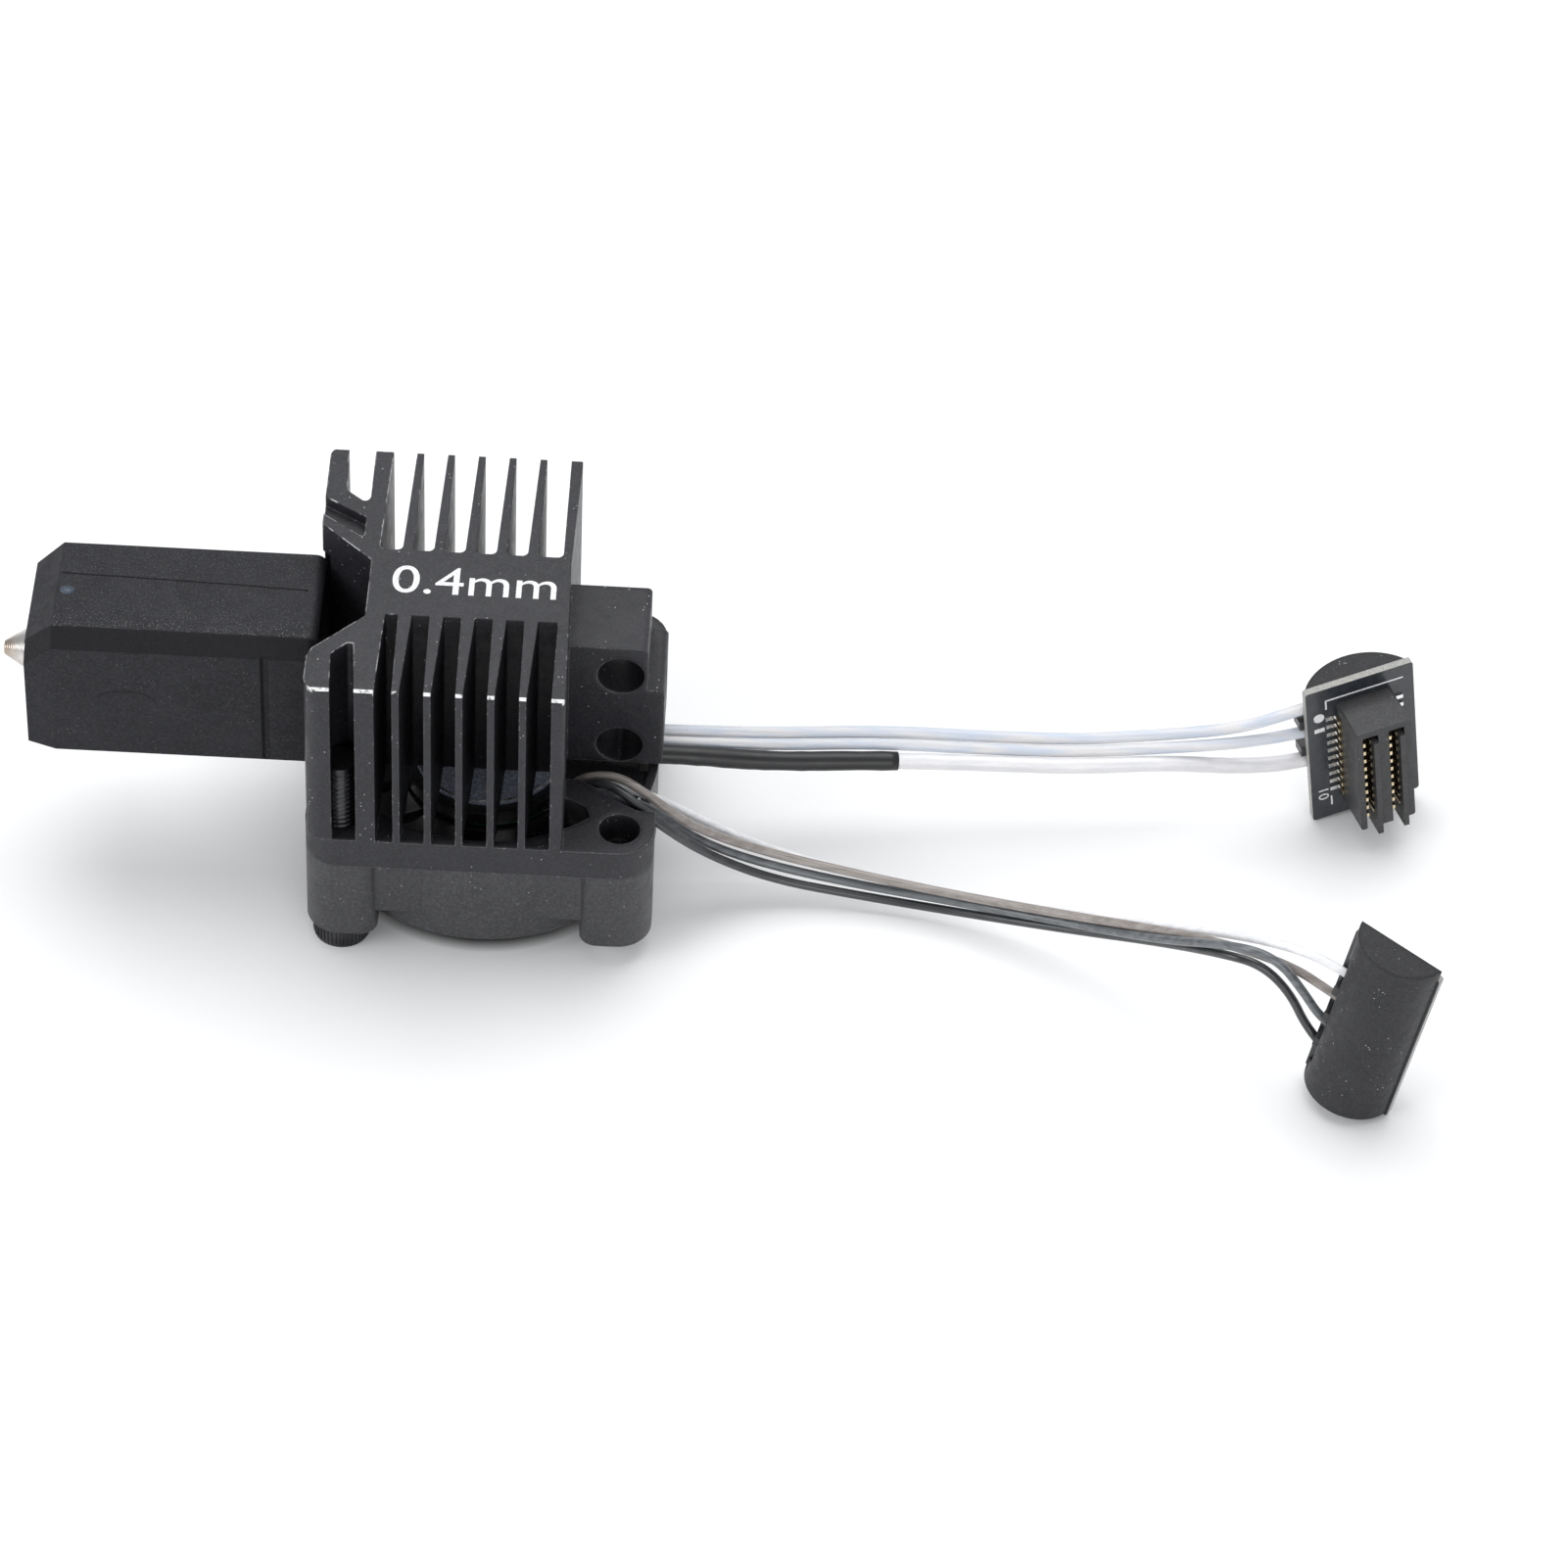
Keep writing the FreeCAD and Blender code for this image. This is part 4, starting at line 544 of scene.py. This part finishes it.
def cord_curve(name, route, radius):
    """The cord's curve, and the points of its smooth line."""
    data = bpy.data.curves.new(name, "CURVE")
    data.dimensions = "3D"
    spline = data.splines.new("NURBS")
    spline.points.add(len(route) - 1)
    for control, (x, y, z) in zip(spline.points, route):
        control.co = (x * MM, y * MM, z * MM, 1)
    spline.order_u = 3
    spline.use_endpoint_u = True
    spline.resolution_u = 12
    piece = bpy.data.objects.new(name, data)
    scene.collection.objects.link(piece)
    bpy.context.view_layer.update()
    line = bpy.data.meshes.new_from_object(piece.evaluated_get(bpy.context.evaluated_depsgraph_get()))
    path = [vertex.co.copy() for vertex in line.vertices]
    bpy.data.meshes.remove(line)
    data.bevel_depth = radius * MM
    data.bevel_resolution = 5
    data.use_fill_caps = True
    return piece, path


CORDS = [
    ("thermistor_lead_1", "thermistor_wire_1", THERMISTOR_1, 0.45, "clear_insulation", "limp"),
    ("thermistor_lead_2", "thermistor_wire_2", THERMISTOR_2, 0.45, "clear_insulation", "limp"),
    ("heater_lead", "heater_cable", HEATER_CABLE, 0.6, "white_insulation", "medium"),
    ("fan_lead_white", "fan_wire_white", FAN_WHITE, 0.33, "white_wire", "limp"),
    ("fan_lead_brown", "fan_wire_brown", FAN_BROWN, 0.33, "brown_wire", "limp"),
    ("fan_lead_grey", "fan_wire_grey", FAN_GREY, 0.33, "grey_wire", "limp"),
    ("fan_lead_black", "fan_wire_black", FAN_BLACK, 0.33, "black_wire", "limp"),
]
STRANDS = 3
STRAND_RADIUS = 0.155
STRAND_OFFSET = 0.17
POINTS_PER_TWIST = 75


def conductor_strands(path):
    """Twisted strands inside the clear insulation."""
    shapes = []
    for strand in range(STRANDS):
        def strand_section(i, count, strand=strand):
            angle = 2 * math.pi * (strand / STRANDS + i / POINTS_PER_TWIST)
            middle = (STRAND_OFFSET * MM * math.cos(angle), STRAND_OFFSET * MM * math.sin(angle))
            return circle(STRAND_RADIUS * MM, 8, middle)
        shapes.append(sweep(path, strand_section))
    return joined(*shapes)


SLEEVE_START = 20.5
SLEEVE_END = 41.25
SLEEVE_RADIUS = 0.70
WOBBLES = 40


def shrunk_sleeve(path):
    """Heat-shrunk sleeve round the cord: slightly oval, uneven, and drawn in at its ends."""
    generator = random.Random(7)
    wobble = [generator.uniform(-1, 1) for _ in range(WOBBLES)]

    def sleeve_section(i, count):
        t = i / (count - 1) * (WOBBLES - 2)
        k = int(t)
        swell = wobble[k] + (wobble[min(k + 1, WOBBLES - 1)] - wobble[k]) * (t - k)
        ends = min(1.0, 0.55 + 0.45 * min(i, count - 1 - i) / 2)
        ring = []
        for j in range(20):
            angle = 2 * math.pi * j / 20
            oval = 1 + 0.035 * math.cos(2 * angle)
            wall = (SLEEVE_RADIUS + 0.025 * swell) * oval * (0.93 + 0.07 * ends)
            ring.append((wall * MM * math.cos(angle), wall * MM * math.sin(angle)))
        return ring

    covered = [point for point in path if SLEEVE_START * MM <= point.x <= SLEEVE_END * MM]
    return sweep(covered, sleeve_section)


for name, node, route, radius, slot, stiffness in CORDS:
    piece, path = cord_curve(name, route, radius)
    piece.data.materials.append(FINISH[slot])
    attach(piece, "hotend")
    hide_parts(node)
    if slot == "clear_insulation":
        vertices, faces = conductor_strands(path)
        add_mesh(name + "_strands", vertices, faces, "clear_insulation", finish="conductor")
    if name == "heater_lead":
        vertices, faces = shrunk_sleeve(path)
        sleeve = add_mesh("heater_lead_sleeve", vertices, faces, "shrink_sleeve")
        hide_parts("heater_sleeve")


# printed letters
PRINT_GAP = 0.001
PRINT_DEPTH = 0.012


def flat_letters(name, words):
    data = bpy.data.curves.new(name, "FONT")
    data.body = words
    data.size = 1
    holder = bpy.data.objects.new(name + "_holder", data)
    scene.collection.objects.link(holder)
    bpy.context.view_layer.update()
    flat = bpy.data.meshes.new_from_object(holder.evaluated_get(bpy.context.evaluated_depsgraph_get()))
    bpy.data.objects.remove(holder)
    return flat


def print_text(name, words, low, high, place, across, upward):
    """Letters stretched over the rectangle low..high (mm) of the plane at place, standing just proud."""
    flat = flat_letters(name, words)
    xs = [vertex.co.x for vertex in flat.vertices]
    ys = [vertex.co.y for vertex in flat.vertices]
    outward = across.cross(upward)
    mesh = bmesh.new()
    mesh.from_mesh(flat)
    for vertex in mesh.verts:
        x = low[0] + (vertex.co.x - min(xs)) / (max(xs) - min(xs)) * (high[0] - low[0])
        y = low[1] + (vertex.co.y - min(ys)) / (max(ys) - min(ys)) * (high[1] - low[1])
        vertex.co = place + (across * x + upward * y + outward * PRINT_GAP) * MM
    raised = bmesh.ops.extrude_face_region(mesh, geom=mesh.faces[:])
    for item in raised["geom"]:
        if isinstance(item, bmesh.types.BMVert):
            item.co += outward * PRINT_DEPTH * MM
    bmesh.ops.recalc_face_normals(mesh, faces=mesh.faces)
    data = bpy.data.meshes.new(name)
    mesh.to_mesh(data)
    mesh.free()
    bpy.data.meshes.remove(flat)
    data.materials.append(FINISH["white_print"])
    piece = bpy.data.objects.new(name, data)
    scene.collection.objects.link(piece)
    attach(piece, "hotend")


X, Y, Z = Vector((1, 0, 0)), Vector((0, 1, 0)), Vector((0, 0, 1))
heatsink_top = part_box("heatsink")[1][2] / MM
print_text("size_mark", "0.4mm", (4.25, -2.35), (15.9, 0.43), mm(0, 0, heatsink_top), X, Y)


def four_sided(first):
    """The four faces between one ring of four vertices and the next."""
    return [(first + j, first + (j + 1) % 4, first + 4 + (j + 1) % 4, first + 4 + j) for j in range(4)]


# fan screws: thread ridges and knurled heads
THREAD_PITCH = 0.45
THREAD_STEPS = 20
THREAD_TURNS = 18
THREAD_ROOT = 1.18
THREAD_RIDGE = [(1.20, -0.19), (1.36, -0.03), (1.36, 0.03), (1.20, 0.19)]
FADE_STEPS = 12


def screw_thread(x, y, top):
    """One helical ridge that ends just under top, and fades out at both ends."""
    vertices, faces = [], []
    pitch = THREAD_PITCH * MM
    steps = THREAD_STEPS * THREAD_TURNS
    start = top - pitch * THREAD_TURNS - 0.1 * MM
    for i in range(steps + 1):
        angle = 2 * math.pi * i / THREAD_STEPS
        fade = min(1.0, min(i, steps - i) / FADE_STEPS)
        for radius, height in THREAD_RIDGE:
            reach = (THREAD_ROOT + (radius - THREAD_ROOT) * fade) * MM
            vertices.append((x + reach * math.cos(angle), y + reach * math.sin(angle),
                             start + pitch * i / THREAD_STEPS + height * MM * fade))
        if i:
            faces += four_sided((i - 1) * 4)
    faces += [(0, 1, 2, 3), tuple(len(vertices) - 1 - j for j in range(4))]
    return vertices, faces


KNURLS = 40
KNURL_FOOT = 1.99
KNURL_CREST = 2.11
KNURL_LEVELS = ((0.12, 0.985), (0.3, 1.0), (1.7, 1.0), (1.9, 0.985))


def screw_knurls(x, y):
    """Upright ridges round the head, drawn in a little at their ends."""
    vertices, faces = [], []
    half = 0.42 * math.pi / KNURLS
    section = ((KNURL_FOOT, -half * 1.5), (KNURL_CREST, -half * 0.4),
               (KNURL_CREST, half * 0.4), (KNURL_FOOT, half * 1.5))
    for k in range(KNURLS):
        angle = 2 * math.pi * k / KNURLS
        ring = [(x + reach * MM * math.cos(angle + offset), y + reach * MM * math.sin(angle + offset))
                for reach, offset in section]
        first = len(vertices)
        for z, pull in KNURL_LEVELS:
            vertices += [(x + (px - x) * pull, y + (py - y) * pull, z * MM) for px, py in ring]
        for level in range(3):
            faces += four_sided(first + 4 * level)
        faces += [(first + 3, first + 2, first + 1, first), (first + 12, first + 13, first + 14, first + 15)]
    return vertices, faces


for label in ("fan_screw_near", "fan_screw_far"):
    low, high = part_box(label)
    x = (low[0] + high[0]) / 2
    y = (low[1] + high[1]) / 2
    vertices, faces = screw_thread(x, y, high[2])
    add_mesh(label + "_thread", vertices, faces, "black_screw", smooth=False)
    vertices, faces = screw_knurls(x, y)
    add_mesh(label + "_knurls", vertices, faces, "black_screw")

# label disc's bright rim
RIM_INSET = 0.00012
RIM_LIFT = 0.00002
RIM_STEPS = 72
low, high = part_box("fan_label_disc")
middle = ((low[0] + high[0]) / 2, (low[1] + high[1]) / 2)
radius = (high[0] - low[0]) / 2
ring_path = [Vector((middle[0] + (radius - RIM_INSET) * math.cos(2 * math.pi * i / RIM_STEPS),
                     middle[1] + (radius - RIM_INSET) * math.sin(2 * math.pi * i / RIM_STEPS),
                     high[2] + RIM_LIFT))
             for i in range(RIM_STEPS + 1)]
vertices, faces = sweep(ring_path, lambda i, count: circle(0.00007, 8), closed_ends=False)
add_mesh("label_disc_rim", vertices, faces, "steel")

# sock: thin, slightly uneven moulding line along its top
low, high = (Vector(corner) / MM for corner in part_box("silicone_sock"))
line = [(-19.6, 1.15, high.z), (-14.0, 1.0, high.z), (-8.0, 0.8, high.z), (-1.9, 0.55, high.z)]
seam_path = []
for a, b in zip(line, line[1:]):
    count = max(2, int((Vector(b) - Vector(a)).length / 0.4))
    seam_path += [mm(*a).lerp(mm(*b), k / count) for k in range(count)]
seam_path.append(mm(*line[-1]))
seam_random = random.Random(3)
seam_path = [point + Vector((0, seam_random.uniform(-0.00003, 0.00003), 0)) for point in seam_path]
vertices, faces = sweep(seam_path, lambda i, count: circle(0.00005, 6))
add_mesh("sock_moulding_line", vertices, faces, "silicone", body="sock")

# sock: faint moulded arc on its front, and a small gate mark on top, whose bluish lighter colour is a
# painted reflection
ARC_MIDDLE = (-14.6, 17.3)
ARC_RADII = (2.2, 1.2)
GATE_MIDDLE = (-19.0, -0.6)
GATE_RADII = (0.55, 0.42)
GATE_SIDES = 24
arc_path = [mm(ARC_MIDDLE[0] + ARC_RADII[0] * math.cos(angle), low.y + 0.075,
               ARC_MIDDLE[1] + ARC_RADII[1] * math.sin(angle))
            for angle in [math.radians(20 + 7 * step) for step in range(21)]]
vertices, faces = sweep(arc_path, lambda i, count: circle(0.00012, 8))
add_mesh("sock_arc_mark", vertices, faces, "silicone", body="sock")
gate_vertices = [mm(GATE_MIDDLE[0] + GATE_RADII[0] * math.cos(2 * math.pi * j / GATE_SIDES),
                    GATE_MIDDLE[1] + GATE_RADII[1] * math.sin(2 * math.pi * j / GATE_SIDES),
                    high.z + lift) for lift in (-0.1, 0.012) for j in range(GATE_SIDES)]
gate_faces = [tuple(range(GATE_SIDES - 1, -1, -1)), tuple(range(GATE_SIDES, 2 * GATE_SIDES))]
gate_faces += [(j, (j + 1) % GATE_SIDES, GATE_SIDES + (j + 1) % GATE_SIDES, GATE_SIDES + j)
               for j in range(GATE_SIDES)]
add_mesh("sock_gate_mark", gate_vertices, gate_faces, "silicone", body="sock", finish="gate_mark_painted_reflection")


# heater plug: printed marks on its board, which is turned and leans
PLUG_BASE = (72.1, 6.3, 0.05)
PLUG_YAW = 20.65
PLUG_LEAN = -8.1
BOARD_FACE = -0.6
MARK_LIFTS = (0.002, 0.02)
LINE_WIDTH = 0.13
DOT_MIDDLE = (0.95, 10.35)
DOT_RADIUS = 0.42
DOT_SIDES = 20
turn = Matrix.Rotation(math.radians(PLUG_LEAN), 3, "Y") @ Matrix.Rotation(math.radians(PLUG_YAW), 3, "Z")
across, away, upward = turn @ X, turn @ Y, turn @ Z
face = mm(*PLUG_BASE) + away * BOARD_FACE * MM


def board_strip(corners, width):
    """Thin printed line through corners (across, up) on the board's face."""
    vertices, faces = [], []
    for (x0, z0), (x1, z1) in zip(corners, corners[1:]):
        run = Vector((x1 - x0, z1 - z0)).normalized()
        off = Vector((-run.y, run.x)) * width / 2
        first = len(vertices)
        quad = [(x0 - run.x * width / 2 + off.x, z0 - run.y * width / 2 + off.y),
                (x1 + run.x * width / 2 + off.x, z1 + run.y * width / 2 + off.y),
                (x1 + run.x * width / 2 - off.x, z1 + run.y * width / 2 - off.y),
                (x0 - run.x * width / 2 - off.x, z0 - run.y * width / 2 - off.y)]
        for lift in MARK_LIFTS:
            vertices += [face + (across * x + upward * z - away * lift) * MM for x, z in quad]
        faces += [(first, first + 1, first + 2, first + 3), (first + 7, first + 6, first + 5, first + 4)]
        faces += [(first + j, first + 4 + j, first + 4 + (j + 1) % 4, first + (j + 1) % 4) for j in range(4)]
    return vertices, faces


vertices, faces = joined(board_strip([(1.55, 11.1), (1.55, 11.9), (7.6, 11.9)], LINE_WIDTH),
                         board_strip([(1.55, 1.2), (1.55, 2.0)], LINE_WIDTH))
add_mesh("heater_plug_outline", vertices, faces, "black_board", smooth=False, finish="white_print")
dot_vertices = []
for lift in MARK_LIFTS:
    dot_vertices += [face + (across * (DOT_MIDDLE[0] + a) + upward * (DOT_MIDDLE[1] + b) - away * lift) * MM
                     for a, b in circle(DOT_RADIUS, DOT_SIDES)]
dot_faces = [tuple(range(DOT_SIDES)), tuple(range(2 * DOT_SIDES - 1, DOT_SIDES - 1, -1))]
dot_faces += [(j, DOT_SIDES + j, DOT_SIDES + (j + 1) % DOT_SIDES, (j + 1) % DOT_SIDES)
              for j in range(DOT_SIDES)]
add_mesh("heater_plug_dot", dot_vertices, dot_faces, "black_board", smooth=False, finish="white_print")
for name, words, low, high in (("heater_plug_mark_first", "1", (-9.3, 0.55), (-8.9, 1.35)),
                               ("heater_plug_mark_last", "10", (-2.9, 0.55), (-1.9, 1.35))):
    print_text(name, words, low, high, face, -upward, across)

# ---------------------------------------------------------------- floor

FLOOR_HALF = 3.0
FLOOR_LEVEL = -0.00002
floor_data = bpy.data.meshes.new("floor")
floor_data.from_pydata([(-FLOOR_HALF, -FLOOR_HALF, FLOOR_LEVEL), (FLOOR_HALF, -FLOOR_HALF, FLOOR_LEVEL),
                        (FLOOR_HALF, FLOOR_HALF, FLOOR_LEVEL), (-FLOOR_HALF, FLOOR_HALF, FLOOR_LEVEL)],
                       [], [(0, 1, 2, 3)])
floor_data.materials.append(FINISH["floor"])
floor = bpy.data.objects.new("floor", floor_data)
scene.collection.objects.link(floor)
